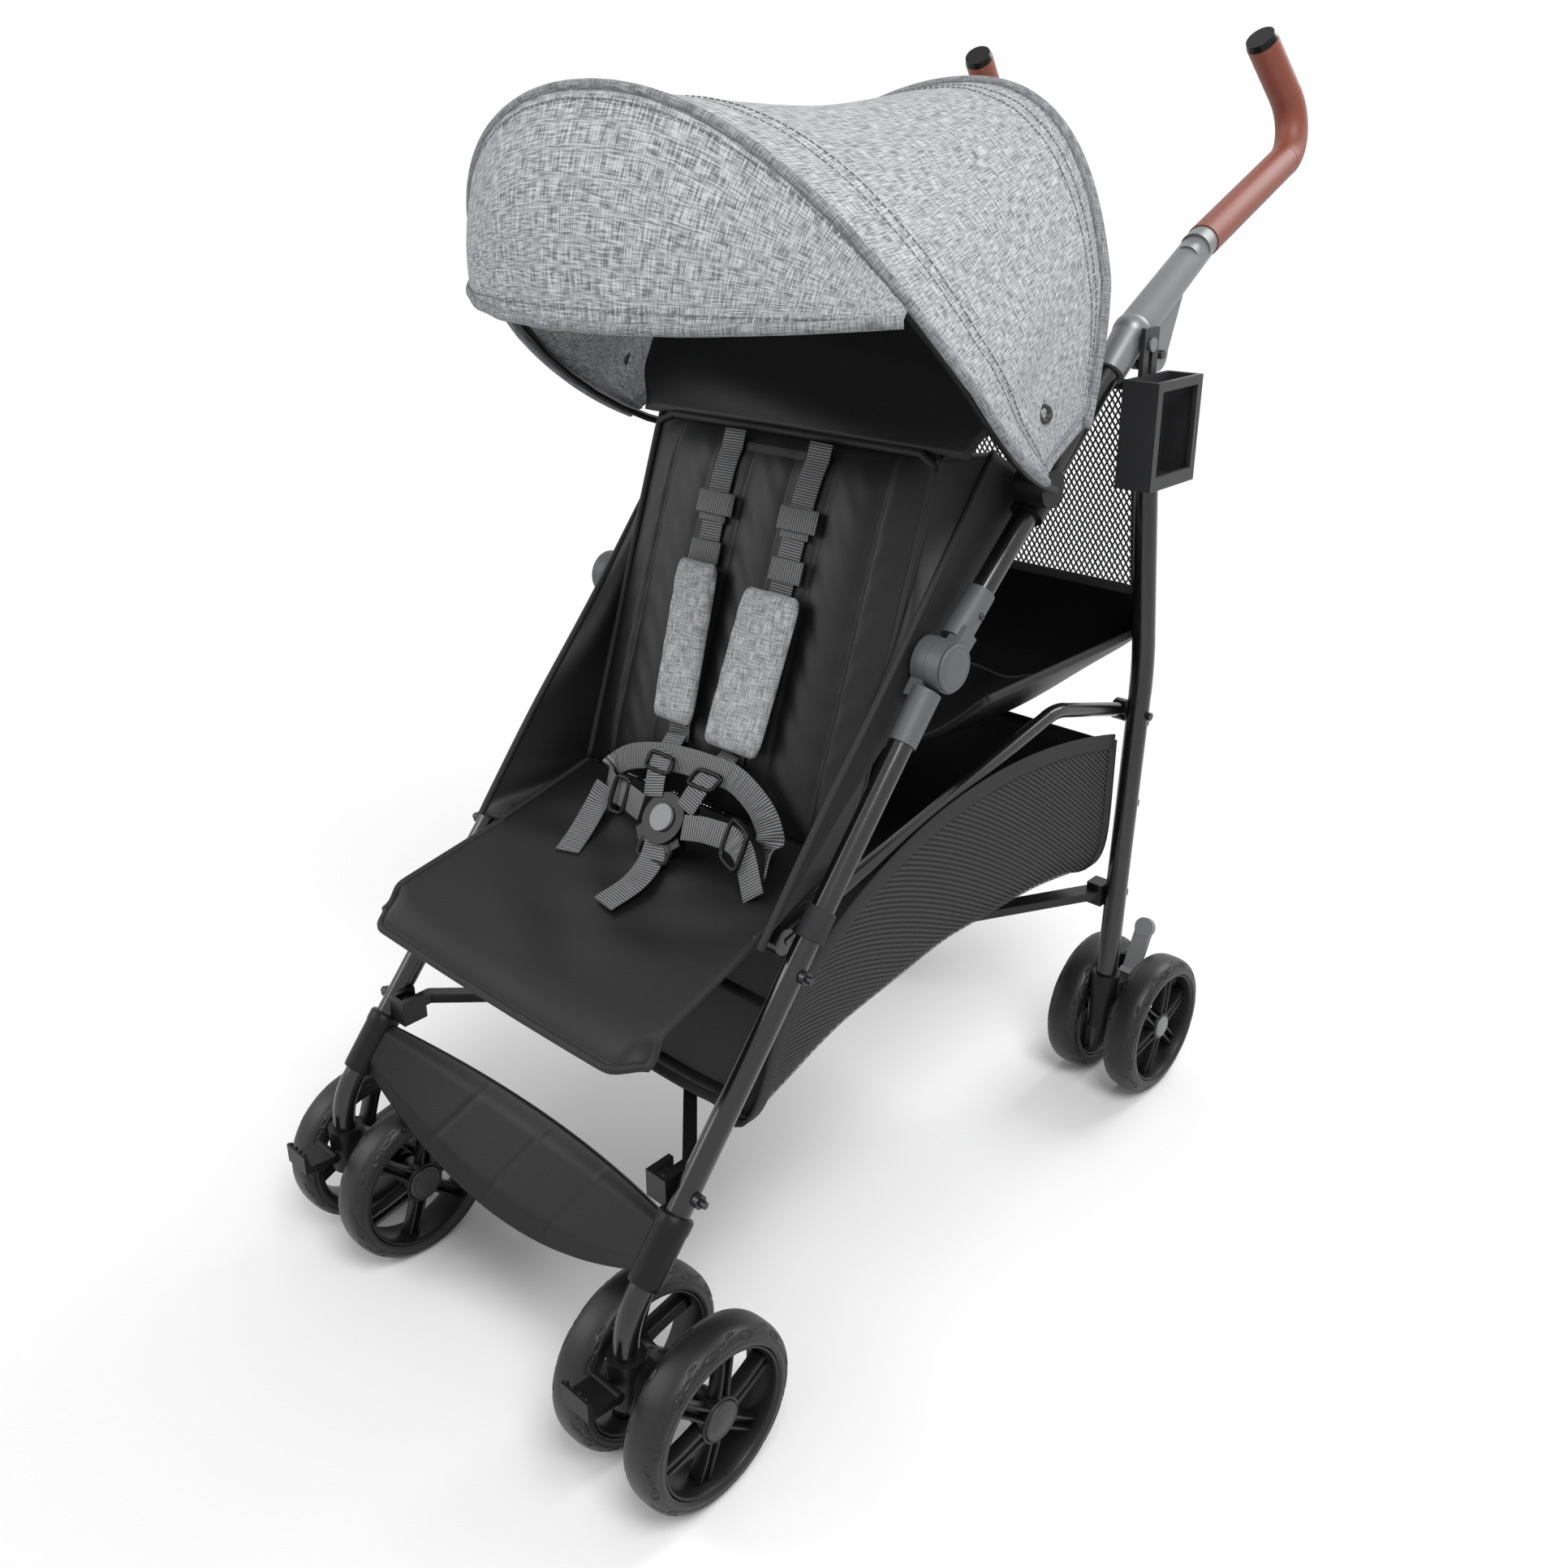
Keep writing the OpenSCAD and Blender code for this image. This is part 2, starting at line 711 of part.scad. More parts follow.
module handle_bracket(with_stud) {
    slot_t = eye_t + 2 * lay_gap;
    stud_x = swivel_x + bracket_d / 4;
    color("#9a9da0")
        difference() {
            union() {
                bar(swivel_x, bracket_start, upper_slope, norm(bracket_neck - bracket_start), bracket_d - 4,
                    bracket_d);
                translate([swivel_x, bracket_neck[0], bracket_neck[1]])
                    sphere(d = bracket_d + 2);
                bar(swivel_x, bracket_neck, neck_angle, neck_len - collar_back, bracket_d, grip_d - neck_step);
                side_plate(rear_x - slot_t / 2 - cheek_t, slot_t + 2 * cheek_t)
                    union() {
                        translate(pivot)
                            circle(r = ear_r);
                        polygon([
                            pivot + ear_r * side_dir(180 + neck_angle),
                            bracket_neck + [0, -bracket_d / 4],
                            mix(bracket_neck, grip_low, 0.72) + [0, -bracket_d / 4],
                            pivot + ear_r * side_dir(neck_angle - 25)
                        ]);
                    }
                if (with_stud) {
                    cross_bar(stud_x, cup_hang, cup_x + cup_wall + 2 - stud_x, stud_d);
                    cross_bar(cup_x + cup_wall + lay_gap, cup_hang, 2, stud_d * 2);
                }
                lean_in() {
                    bar(swivel_x, grip_low - neck_len / 4 * side_dir(grip_slope), grip_slope, neck_len / 4 + core_len,
                        grip_core_d);
                    bar(swivel_x, grip_low - collar_len * side_dir(grip_slope), grip_slope, collar_len,
                        grip_d - neck_step);
                }
            }
            bar(swivel_x, bracket_start - overrun * side_dir(upper_slope), upper_slope,
                norm(upper_end - bracket_start) + overrun + lay_gap, tube_d + 2 * seat_gap);
            side_plate(rear_x - slot_t / 2, slot_t)
                union() {
                    translate(pivot)
                        circle(r = eye_r + 7);
                    polygon([
                        pivot + (eye_r + 7) * side_dir(160),
                        pivot + (eye_r + 7) * side_dir(20),
                        pivot + [2 * ear_r + eye_drop, -eye_drop * 2],
                        pivot + [-ear_r, -eye_drop * 2]
                    ]);
                }
            cross_bar(rear_x - slot_t / 2 - cheek_t - overrun, pivot, slot_t + 2 * cheek_t + 2 * overrun,
                pivot_pin_d + 2 * seat_gap);
        }
}
pivot_pin_d = 8;

module handle_grip() {
    color("#8a3d2c")
        lean_in()
            difference() {
                bent_bar(swivel_x, stretched(grip_path, -lay_gap, -cap_t), grip_bend_r, grip_d);
                bar(swivel_x, grip_low - core_len * side_dir(grip_slope), grip_slope, 2 * core_len + lay_gap,
                    grip_core_d + 2 * seat_gap);
            }
}

module grip_caps() {
    color("#111112")
        both()
            lean_in()
                bar(swivel_x, grip_tip - (cap_t - lay_gap) * side_dir(grip_top_slope), grip_top_slope, cap_t,
                    grip_d, grip_d - cap_taper);
}

// Canopy
module canopy_clamps() {
    ring_at = clamp - (clamp_rise) * side_dir(upper_slope + 90);
    ring_len = 34;
    color("#151516")
        both() {
            difference() {
                union() {
                    bar(swivel_x, ring_at - ring_len / 2 * side_dir(upper_slope), upper_slope, ring_len, tube_d + 9);
                    cross_bar(swivel_x - tube_d / 4, clamp, clamp_face_x - swivel_x + tube_d / 4, clamp_d);
                }
                bar(swivel_x, ring_at - ring_len * side_dir(upper_slope), upper_slope, 2 * ring_len,
                    tube_d + 2 * seat_gap);
            }
        }
}
// Height of the clamp axis above the upper tube's axis
clamp_rise = (clamp - hub) * side_dir(upper_slope + 90);

// Angle round a bow at a share of the way from its left foot to its right foot
function bow_angle(t, share) = let(half = 90 * power(min(2 * t, 2 - 2 * t), 1 / share)) t < 0.5 ? half : 180 - half;

// Point of the cover over a bow, on a side line, at a share of the way round
function bow_point(line, share, t) = let(
    angle = bow_angle(t, share),
    rise = power(sin(angle), share),
    p = bend_line(line, rise),
    reach = mix(bow_foot_x, canopy_half_w, min(1, 2 * rise)) * power(abs(cos(angle)), bow_side_share)
) [(t < 0.5 ? -1 : 1) * reach, p[0], p[1]];

// A point moved towards the clamp axis
function drawn_in(p, run) = p - run * unit(p - [0, clamp[0], clamp[1]]);

// Tube swept along a bow
module bow(line, share, low, foot_inset) {
    sides = 8;
    rings = canopy_steps;
    centre = function(i) let(
        t = mix(low, 1 - low, i / rings),
        p = drawn_in(bow_point(line, share, t), bow_inset),
        near_foot = max(0, 1 - 2 * sin(bow_angle(t, share)))
    ) [p[0] + (t < 0.5 ? 1 : -1) * foot_inset * near_foot, p[1], p[2]];
    ring = function(i) let(
        a = centre(max(i - 1, 0)),
        b = centre(min(i + 1, rings)),
        t = unit(b - a),
        n = unit(cross(t, [0, 1, 0.001])),
        m = cross(n, t)
    ) [for (k = [0:sides - 1]) centre(i) + bow_d / 2 * (cos(k * 360 / sides) * n + sin(k * 360 / sides) * m)];
    points = [for (i = [0:rings]) each ring(i)];
    skin = [
        for (i = [0:rings - 1]) for (k = [0:sides - 1]) each [
            [i * sides + k, (i + 1) * sides + (k + 1) % sides, (i + 1) * sides + k],
            [i * sides + k, i * sides + (k + 1) % sides, (i + 1) * sides + (k + 1) % sides]
        ]
    ];
    caps = [
        [for (k = [sides - 1:-1:0]) k],
        [for (k = [0:sides - 1]) rings * sides + k]
    ];
    polyhedron(points = points, faces = concat(skin, caps), convexity = 6);
}

module canopy_bow_front() {
    color("#2a2a2c")
        bow(front_bow_line, front_rise_share, front_foot_share, 0);
}

module canopy_bow_rear() {
    color("#2a2a2c")
        bow(rear_bow_line, rear_rise_share, rear_foot_share, bow_d + foot_clear);
}

// Cover between the two bows, drawn in between them
module canopy_cover() {
    sheet = function(u, v, inset) let(
        t = mix(cover_foot_share, 1 - cover_foot_share, u),
        front = bow_point(front_bow_line, front_rise_share, t),
        rear = bow_point(rear_bow_line, rear_rise_share, t),
        pull = canopy_sag * full(v, 2) * full(t, 2) + inset
    ) drawn_in(mix(front, rear, v), pull);
    color("#a3a7ab")
        cloth(canopy_steps, 8, function(u, v) sheet(u, v, 0), function(u, v) sheet(u, v, canopy_t));
}

// Visor hung from the front bow, ahead of it, down to a level hem
module canopy_visor() {
    sheet = function(u, v, inset) let(
        t = mix(visor_foot_share, 1 - visor_foot_share, u),
        top = bow_point(front_bow_line, front_rise_share, t),
        s = 2 * u - 1,
        corner = bow_point(front_bow_line, front_rise_share, 1 - visor_foot_share),
        hem = [s * (corner[0] + hem_out), mix(visor_low[0], corner[1] - hem_ahead, s * s), visor_low[1]],
        p = mix(hem, top, v)
    ) p + [0, -bow_clear + inset, 0];
    color("#a3a7ab")
        cloth(canopy_steps, 6, function(u, v) sheet(u, v, 0), function(u, v) sheet(u, v, canopy_t));
}
bow_clear = canopy_t + lay_gap;

// Rear frame
module rear_leg() {
    color("#1b1b1d")
        difference() {
            union() {
                bent_bar(rear_x, [rear_start, knee, foot], rear_bend_r, rear_tube_d);
                cross_bar(rear_x - eye_t / 2, pivot, eye_t, 2 * eye_r);
                translate([rear_x - eye_neck_t / 2, pivot[0], pivot[1]])
                    rotate([rear_top_angle - 90, 0, 0])
                        translate([0, -eye_neck_w / 2, eye_r / 2])
                            cube([eye_neck_t, eye_neck_w, eye_drop]);
            }
            bar(rear_x, foot + overrun * side_dir(rear_low_angle), rear_low_angle + 180, 300, rear_tube_d - 2 * tube_wall);
            cross_bar(rear_x - eye_t, pivot, 2 * eye_t, pivot_pin_d + 2 * fit_gap);
            cross_bar(rear_x - rear_tube_d, rail_rear, 2 * rear_tube_d, rail_pin_d + 2 * seat_gap);
        }
}

// Housing at the foot of a rear leg, with the axle behind the leg
housing_d = rear_tube_d + 7;
housing_len = 62;
housing_boss_w = rear_pair - tyre_w - 3;
pedal_pivot = rear_wheel_at + [8, 40];
pedal_pin_d = 7;
module rear_housing() {
    top = foot - housing_len * 0.75 * side_dir(rear_low_angle);
    color("#19191a")
        difference() {
            union() {
                bar(rear_x, top, rear_low_angle, housing_len, housing_d);
                cross_bar(rear_x - housing_boss_w / 2, rear_wheel_at, housing_boss_w, fork_boss_d);
                side_plate(rear_x - housing_d * 0.4, housing_d * 0.8)
                    polygon([
                        top + [0, -12],
                        pedal_pivot + [-4, 6],
                        pedal_pivot + [5, -5],
                        rear_wheel_at + [fork_boss_d * 0.4, 0],
                        rear_wheel_at + [0, -fork_boss_d * 0.45],
                        foot + [-housing_d * 0.2, -12]
                    ]);
            }
            bar(rear_x, top - overrun * side_dir(rear_low_angle), rear_low_angle,
                housing_len * 0.75 + overrun + lay_gap, rear_tube_d + 2 * seat_gap);
            cross_bar(rear_x - rear_pair, rear_wheel_at, 2 * rear_pair, axle_d + 2 * fit_gap);
            cross_bar(rear_x - rear_pair, pedal_pivot, 2 * rear_pair, pedal_pin_d + 2 * fit_gap);
            side_plate(rear_x - pedal_w / 2 - lay_gap, pedal_w + 2 * lay_gap)
                translate(pedal_pivot)
                    circle(r = pedal_hub_r + 1);
        }
}

// Brake pedal: grooved lever that stands up behind the rear leg
pedal_w = 20;
pedal_hub_r = 9;
pedal_len = 66;
pedal_t = 8;
pedal_lean = 62;
module brake_pedal() {
    groove_t = 1.5;
    color("#86888a")
        difference() {
            union() {
                cross_bar(rear_x - pedal_w / 2, pedal_pivot, pedal_w, 2 * pedal_hub_r);
                cross_bar(rear_x - housing_d * 0.4 + lay_gap, pedal_pivot, housing_d * 0.8 - 2 * lay_gap, pedal_pin_d);
                translate([rear_x - pedal_w / 2, pedal_pivot[0], pedal_pivot[1]])
                    rotate([pedal_lean - 90, 0, 0])
                        translate([1, -pedal_t / 2 + 0.5, pedal_hub_r / 2])
                            cube([pedal_w - 2, pedal_t - 1, pedal_len - pedal_w / 2 - pedal_hub_r / 2]);
                translate([rear_x, pedal_pivot[0], pedal_pivot[1]])
                    rotate([pedal_lean - 90, 0, 0])
                        translate([0, pedal_t / 2, pedal_len - pedal_w / 2])
                            rotate([90, 0, 0])
                                cylinder(h = pedal_t, d = pedal_w + 1);
            }
            for (i = [0:3])
                translate([rear_x, pedal_pivot[0], pedal_pivot[1]])
                    rotate([pedal_lean - 90, 0, 0])
                        translate([-pedal_w * 0.3, pedal_t / 2 - groove_t, pedal_len - pedal_w / 2 + 4 - 5 * i])
                            cube([pedal_w * 0.6, groove_t + overrun, groove_t]);
        }
}

// Rear brace: two arms from the rear legs to the plate that the front brace meets
module rear_brace() {
    plate_front = brace_tip_y + tip_r + tip_room;
    plate_rear = -4;
    reach_x = rear_x - rear_tube_d / 2 - 9;
    span = clevis[0] - plate_rear;
    plan_angle = atan2(reach_x, span);
    arm_len = norm([reach_x, span]);
    plate_w = 34;
    color("#161617") {
        translate([-plate_w / 2, plate_front, clevis[1] - plate_t / 2])
            cube([plate_w, plate_rear + arm_w - plate_front, plate_t]);
        both() {
            translate([reach_x, clevis[0], clevis[1] - arm_h / 2])
                rotate([0, 0, 180 - plan_angle])
                    translate([-arm_w / 2, 0, 0])
                        cube([arm_w, arm_len, arm_h]);
            translate([reach_x - arm_w / 2, clevis[0] - arm_w / 2, clevis[1] - knuckle_h / 2])
                cube([rear_x - rear_tube_d / 2 - lay_gap - reach_x + arm_w / 2, arm_w, knuckle_h]);
        }
    }
}

module rear_bolts() {
    heights = [423, 335, 233];
    color("#3a3b3d")
        both() {
            for (z = heights)
                translate([0, rear_tube_d / 2 + lay_gap, 0])
                    bolt_back(rear_x, on_rear_leg(z));
            cross_bar(rail_x - rail_eye_t, rail_rear, rear_x + rear_tube_d / 2 + 4 - rail_x + rail_eye_t, rail_pin_d);
            cross_bar(rear_x - eye_t / 2 - cheek_t - lay_gap - 4, pivot, eye_t + 2 * cheek_t + 2 * lay_gap + 8,
                pivot_pin_d);
        }
}

// Bolt end that stands out behind a rear leg
module bolt_back(x, p) {
    translate([x, p[0], p[1]])
        rotate([-90, 0, 0]) {
            cylinder(h = nut_t, d = nut_d);
            cylinder(h = 2 * nut_t, d = bolt_d);
        }
}

// Side rails
module side_rail() {
    color("#1b1b1d")
        difference() {
            union() {
                bent_bar(rail_x, [rail_front, rail_bend, rail_rear], rail_bend_r, rail_d);
                for (p = [rail_front, rail_rear])
                    cross_bar(rail_x - rail_eye_t, p, 2 * rail_eye_t, 2 * rail_eye_r);
            }
            cross_bar(rail_x - rail_d, rail_rear, 2 * rail_d, rail_pin_d + 2 * fit_gap);
        }
}

// Front seat
// Point on the back at a lateral place, a share up it and a distance in front of it
function back_point(x, s, off) = let(
    p = mix(back_foot, back_top, s) + off * side_dir(back_angle + 90)
) [x, p[0], p[1]];

// Height of the back pad's crown at a lateral place and a share up it
function crown(x, s) = pad_t * full((x / seat_half_w + 1) / 2, 6) * full(s, 8);

// Back pad: crowned, drawn in at its edges, with upright sewn channels
module seat_back() {
    swell = function(u, v) crown((2 * u - 1) * seat_half_w, v) * (0.7 + 0.3 * abs(sin(180 * pad_channels * u)));
    color("#161617")
        cloth(20, 12,
            function(u, v) back_point((2 * u - 1) * seat_half_w, v, swell(u, v)),
            function(u, v) back_point((2 * u - 1) * seat_half_w, v, -seam_t));
}

// Cloth behind the head, from the top of the back pad up into the canopy
module head_panel() {
    sheet = function(u, v, back) let(
        p = mix(back_top + [lay_gap, 0], head_top, v)
    ) [(2 * u - 1) * mix(seat_half_w, head_half_w, v), p[0] + 14 * full(u, 2) * v + back, p[1] + lay_gap];
    color("#101011")
        cloth(10, 6, function(u, v) sheet(u, v, 0), function(u, v) sheet(u, v, wing_t));
}

// Seat cloth: dished across, falling towards a front edge that droops in the middle
module seat_base() {
    sheet = function(u, v, down) let(
        s = 2 * u - 1,
        p = bend_line([base_front, base_mid, base_rear], v)
    ) [
        s * mix(base_half_w, base_rear_half_w, min(1, 2 * v)),
        p[0] - base_dish / 2 * s * s * (1 - v),
        p[1] + base_dish * s * s * (1 - v * v) - down
    ];
    color("#161617")
        cloth(16, 10, function(u, v) sheet(u, v, 0), function(u, v) sheet(u, v, seam_t + base_t * full(u, 4) * full(v, 4)));
}

// Side wings from the back pad's edges to a bound edge on the inner side of the tubes and hubs
module seat_wings() {
    sheet = function(u, v, back) let(
        inner = back_point(seat_half_w + lay_gap, v, -back),
        edge = mix(wing_low, wing_top, v) + back * side_dir(upper_slope - 90),
        outer = [wing_edge_x, edge[0], edge[1]]
    ) mix(inner, outer, u);
    color("#131314")
        both()
            cloth(6, 10, function(u, v) sheet(u, v, 0), function(u, v) sheet(u, v, wing_t));
}

// Harness webbing on the back, with the waist straps and the strap between the legs
module harness() {
    shoulder = function(u, v, off) let(
        x = mix(30, 50, v) + (u - 0.5) * strap_w,
        s = mix(0.12, 0.975, v)
    ) back_point(x, s, crown(x, s) + lay_gap + off);
    hip_x = seat_half_w - 12;
    waist = function(u, v, off) let(
        s = 0.10 + 0.07 * u,
        a = back_point(hip_x, s, crown(hip_x, s) * hip_share + lay_gap + off),
        b = [buckle_d * strap_end_share, buckle_at[0] + 4 + off, buckle_at[1] + 10 + strap_w * (u - 0.5)]
    ) mix(a, b, 1 - v) + [0, -18 * full(v, 2), 0];
    color("#6a6c6f") {
        both() {
            cloth(2, 10, function(u, v) shoulder(u, v, strap_t), function(u, v) shoulder(u, v, 0));
            cloth(2, 6, function(u, v) waist(1 - u, v, 0), function(u, v) waist(1 - u, v, strap_t));
        }
    }
}

// Padded sleeves on the shoulder straps
module shoulder_pads() {
    rise = pad_t + strap_t + 2 * lay_gap + 1;
    sheet = function(u, v, way) let(
        s = mix(0.24, 0.24 + pad_len / back_len, v),
        x = mix(36, 44, v) + (u - 0.5) * pad_w * (0.94 + 0.06 * full(v, 4)),
        fill = pad_h / 2 * power(full(u, 4) * full(v, 8), 0.5) + 1
    ) back_point(x, s, rise + pad_h / 2 + way * fill);
    color("#9b9fa3")
        both()
            cloth(8, 12, function(u, v) sheet(u, v, 1), function(u, v) sheet(u, v, -1));
}

// Buckle and its press button, facing up and forward
module at_buckle() {
    translate([0, buckle_at[0], buckle_at[1]])
        rotate([buckle_tilt, 0, 0])
            children();
}

button_t = 8;
module buckle() {
    prong_w = 16;
    prong_h = 9;
    color("#0f0f10")
        at_buckle()
            difference() {
                union() {
                    cylinder(h = buckle_t, d = buckle_d);
                    for (turn = [45, 135, 225, 315])
                        rotate([0, 0, turn])
                            translate([0, -prong_w / 2, 2])
                                cube([buckle_d * 0.68, prong_w, prong_h]);
                }
                translate([0, 0, buckle_t - button_t + 2])
                    cylinder(h = button_t, d = button_d + 4 * fit_gap);
            }
}

module buckle_button() {
    rise = button_travel + lay_gap;
    color("#8c8e90")
        at_buckle()
            translate([0, 0, buckle_t - button_t + 2 + rise])
                cylinder(h = button_t - 2, d = button_d);
}

// Rear seat sling between the rear legs
module rear_seat() {
    sheet = function(u, v, down) let(
        s = 2 * u - 1,
        y = mix(sling_front_y, sling_rear_y, v),
        dip = sling_depth * full(u, 2) * (0.86 + 0.14 * full(v, 2))
    ) [s * sling_half_w, y, sling_edge_z - dip - down];
    color("#18181a")
        cloth(14, 8, function(u, v) sheet(u, v, 0), function(u, v) sheet(u, v, sling_t));
}

// Net back of the rear seat, bound at its edges, in the line of the rear legs
module rear_net() {
    half_w = rear_x - rear_tube_d / 2 - lay_gap;
    low = on_rear_leg(net_low_z);
    top = on_rear_leg(net_top_z);
    high = norm(top - low);
    step_x = (2 * half_w - 2 * net_border + net_cord) / net_columns;
    step_z = (high - 2 * net_border + net_cord) / net_rows;
    color("#2b2c2e")
        translate([0, low[0], low[1]])
            rotate([line_angle(low, top) - 90 + 90, 0, 0])
                translate([-half_w, 0, -net_t / 2])
                    linear_extrude(net_t)
                        difference() {
                            square([2 * half_w, high]);
                            for (i = [0:net_columns - 1])
                                for (j = [0:net_rows - 1])
                                    translate([net_border + i * step_x, net_border + j * step_z])
                                        square([step_x - net_cord, step_z - net_cord]);
                        }
}

// Basket: an open trough under the seats with a closed front and back
module basket() {
    trough = function(u, v, t) let(
        a = 180 + 180 * u,
        top = bend_line(basket_top_line, v),
        low = bend_line(basket_low_line, v),
        x = (basket_half_w - t) * (cos(a) < 0 ? -1 : 1) * power(abs(cos(a)), basket_round_share),
        drop = power(abs(sin(a)), basket_round_share)
    ) [x, mix(top[0], low[0], drop), mix(top[1], low[1] + t, drop)];
    wall = function(u, v, s, shift) let(
        top = bend_line(basket_top_line, s),
        low = bend_line(basket_low_line, s),
        drop = mix(wall_foot_share, 0, v),
        a = asin(power(drop, 1 / basket_round_share)),
        x = (2 * u - 1) * (basket_half_w - basket_t / 2) * power(cos(a), basket_round_share)
    ) [x, mix(top[0], low[0], drop) + shift, mix(top[1], low[1], drop)];
    color("#1d1e20") {
        cloth(20, 10, function(u, v) trough(u, v, basket_t), function(u, v) trough(u, v, 0));
        cloth(6, 8, function(u, v) wall(u, v, 0, 0), function(u, v) wall(u, v, 0, basket_t));
        cloth(6, 8, function(u, v) wall(u, v, 1, -basket_t), function(u, v) wall(u, v, 1, 0));
    }
}

// Cup holder: a bottomed sleeve with a window, hung by a slotted tab on a stud of the right handle bracket
cup_hang = bracket_neck + [-4, -8];
cup_x = swivel_x + bracket_d / 2 + 2;
stud_d = 6;
tab_w = 24;
tab_top = 14;
slot_run = 25;
module cup_holder() {
    base = cup_hang + [-cup_w / 2 + 2, -cup_h - 26];
    color("#4a4c4f")
        difference() {
            union() {
                translate([cup_x, base[0], base[1]])
                    cube([cup_depth, cup_w, cup_h]);
                translate([cup_x, cup_hang[0] - tab_w / 2, base[1] + cup_h - overrun])
                    cube([cup_wall, tab_w, cup_hang[1] + tab_top - base[1] - cup_h + overrun]);
            }
            translate([cup_x + cup_wall, base[0] + cup_wall, base[1] + cup_wall])
                cube([cup_depth - 2 * cup_wall, cup_w - 2 * cup_wall, cup_h]);
            translate([cup_x + cup_depth - 2 * cup_wall, base[0] + 2 * cup_wall, base[1] + 3 * cup_wall])
                cube([3 * cup_wall, cup_w - 4 * cup_wall, cup_h - 5 * cup_wall]);
            cross_bar(cup_x - overrun, cup_hang, cup_wall + 2 * overrun, stud_d + 4 * fit_gap);
            translate([cup_x - overrun, cup_hang[0] - stud_d / 2 - 2 * fit_gap, cup_hang[1] - slot_run])
                cube([cup_wall + 2 * overrun, stud_d + 4 * fit_gap, slot_run]);
        }
}

left() front_leg();  // front_leg_left
front_leg();  // front_leg_right
left() hub_lower();  // hub_lower_left
hub_lower();  // hub_lower_right
footrest();
brace_knuckles();
front_bolts();
front_brace();
left() caster_fork();  // caster_fork_left
caster_fork();  // caster_fork_right
left() swivel_lock();  // swivel_lock_left
swivel_lock();  // swivel_lock_right
left() wheel_axle(swivel_x, front_wheel_at, front_pair);  // front_axle_left
wheel_axle(swivel_x, front_wheel_at, front_pair);  // front_axle_right
left() rim_pair(swivel_x, front_wheel_at, front_pair);  // front_rims_left
rim_pair(swivel_x, front_wheel_at, front_pair);  // front_rims_right
left() tyre_pair(swivel_x, front_wheel_at, front_pair);  // front_tyres_left
tyre_pair(swivel_x, front_wheel_at, front_pair);  // front_tyres_right
left() upper_tube();  // upper_tube_left
upper_tube();  // upper_tube_right
left() hub_upper();  // hub_upper_left
hub_upper();  // hub_upper_right
left() handle_bracket(false);  // handle_bracket_left
handle_bracket(true);  // handle_bracket_right
left() handle_grip();  // handle_grip_left
handle_grip();  // handle_grip_right
grip_caps();
canopy_clamps();
canopy_bow_rear();
canopy_bow_front();
canopy_cover();
canopy_visor();
left() rear_leg();  // rear_leg_left
rear_leg();  // rear_leg_right
left() rear_housing();  // rear_housing_left
rear_housing();  // rear_housing_right
rear_brace();
rear_bolts();
left() brake_pedal();  // brake_pedal_left
brake_pedal();  // brake_pedal_right
left() wheel_axle(rear_x, rear_wheel_at, rear_pair);  // rear_axle_left
wheel_axle(rear_x, rear_wheel_at, rear_pair);  // rear_axle_right
left() rim_pair(rear_x, rear_wheel_at, rear_pair);  // rear_rims_left
rim_pair(rear_x, rear_wheel_at, rear_pair);  // rear_rims_right
left() tyre_pair(rear_x, rear_wheel_at, rear_pair);  // rear_tyres_left
tyre_pair(rear_x, rear_wheel_at, rear_pair);  // rear_tyres_right
left() side_rail();  // side_rail_left
side_rail();  // side_rail_right
seat_back();
head_panel();
seat_base();
seat_wings();
harness();
shoulder_pads();
buckle();
buckle_button();
rear_seat();
rear_net();
basket();
cup_holder();
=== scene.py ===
"""Tandem stroller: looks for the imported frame, in metres, +Z up, the front towards -Y."""

import json
import math

import bpy
import numpy as np
from mathutils import Matrix, Vector


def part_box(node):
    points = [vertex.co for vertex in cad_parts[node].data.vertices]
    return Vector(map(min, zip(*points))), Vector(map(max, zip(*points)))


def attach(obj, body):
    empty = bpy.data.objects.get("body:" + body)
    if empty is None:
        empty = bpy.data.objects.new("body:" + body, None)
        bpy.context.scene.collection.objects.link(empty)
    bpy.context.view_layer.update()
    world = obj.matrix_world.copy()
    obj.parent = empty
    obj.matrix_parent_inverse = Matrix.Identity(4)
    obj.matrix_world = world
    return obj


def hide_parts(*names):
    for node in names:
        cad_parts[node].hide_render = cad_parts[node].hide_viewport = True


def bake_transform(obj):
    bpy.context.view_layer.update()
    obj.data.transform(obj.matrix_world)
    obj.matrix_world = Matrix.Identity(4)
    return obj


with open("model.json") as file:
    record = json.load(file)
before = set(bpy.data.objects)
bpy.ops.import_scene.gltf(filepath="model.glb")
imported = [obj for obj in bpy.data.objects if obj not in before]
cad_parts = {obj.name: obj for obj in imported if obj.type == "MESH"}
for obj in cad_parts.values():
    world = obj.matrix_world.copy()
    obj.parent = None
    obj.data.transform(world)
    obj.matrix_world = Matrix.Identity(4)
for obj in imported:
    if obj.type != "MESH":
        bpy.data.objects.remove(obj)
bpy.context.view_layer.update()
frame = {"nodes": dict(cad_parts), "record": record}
nodes = frame["nodes"]

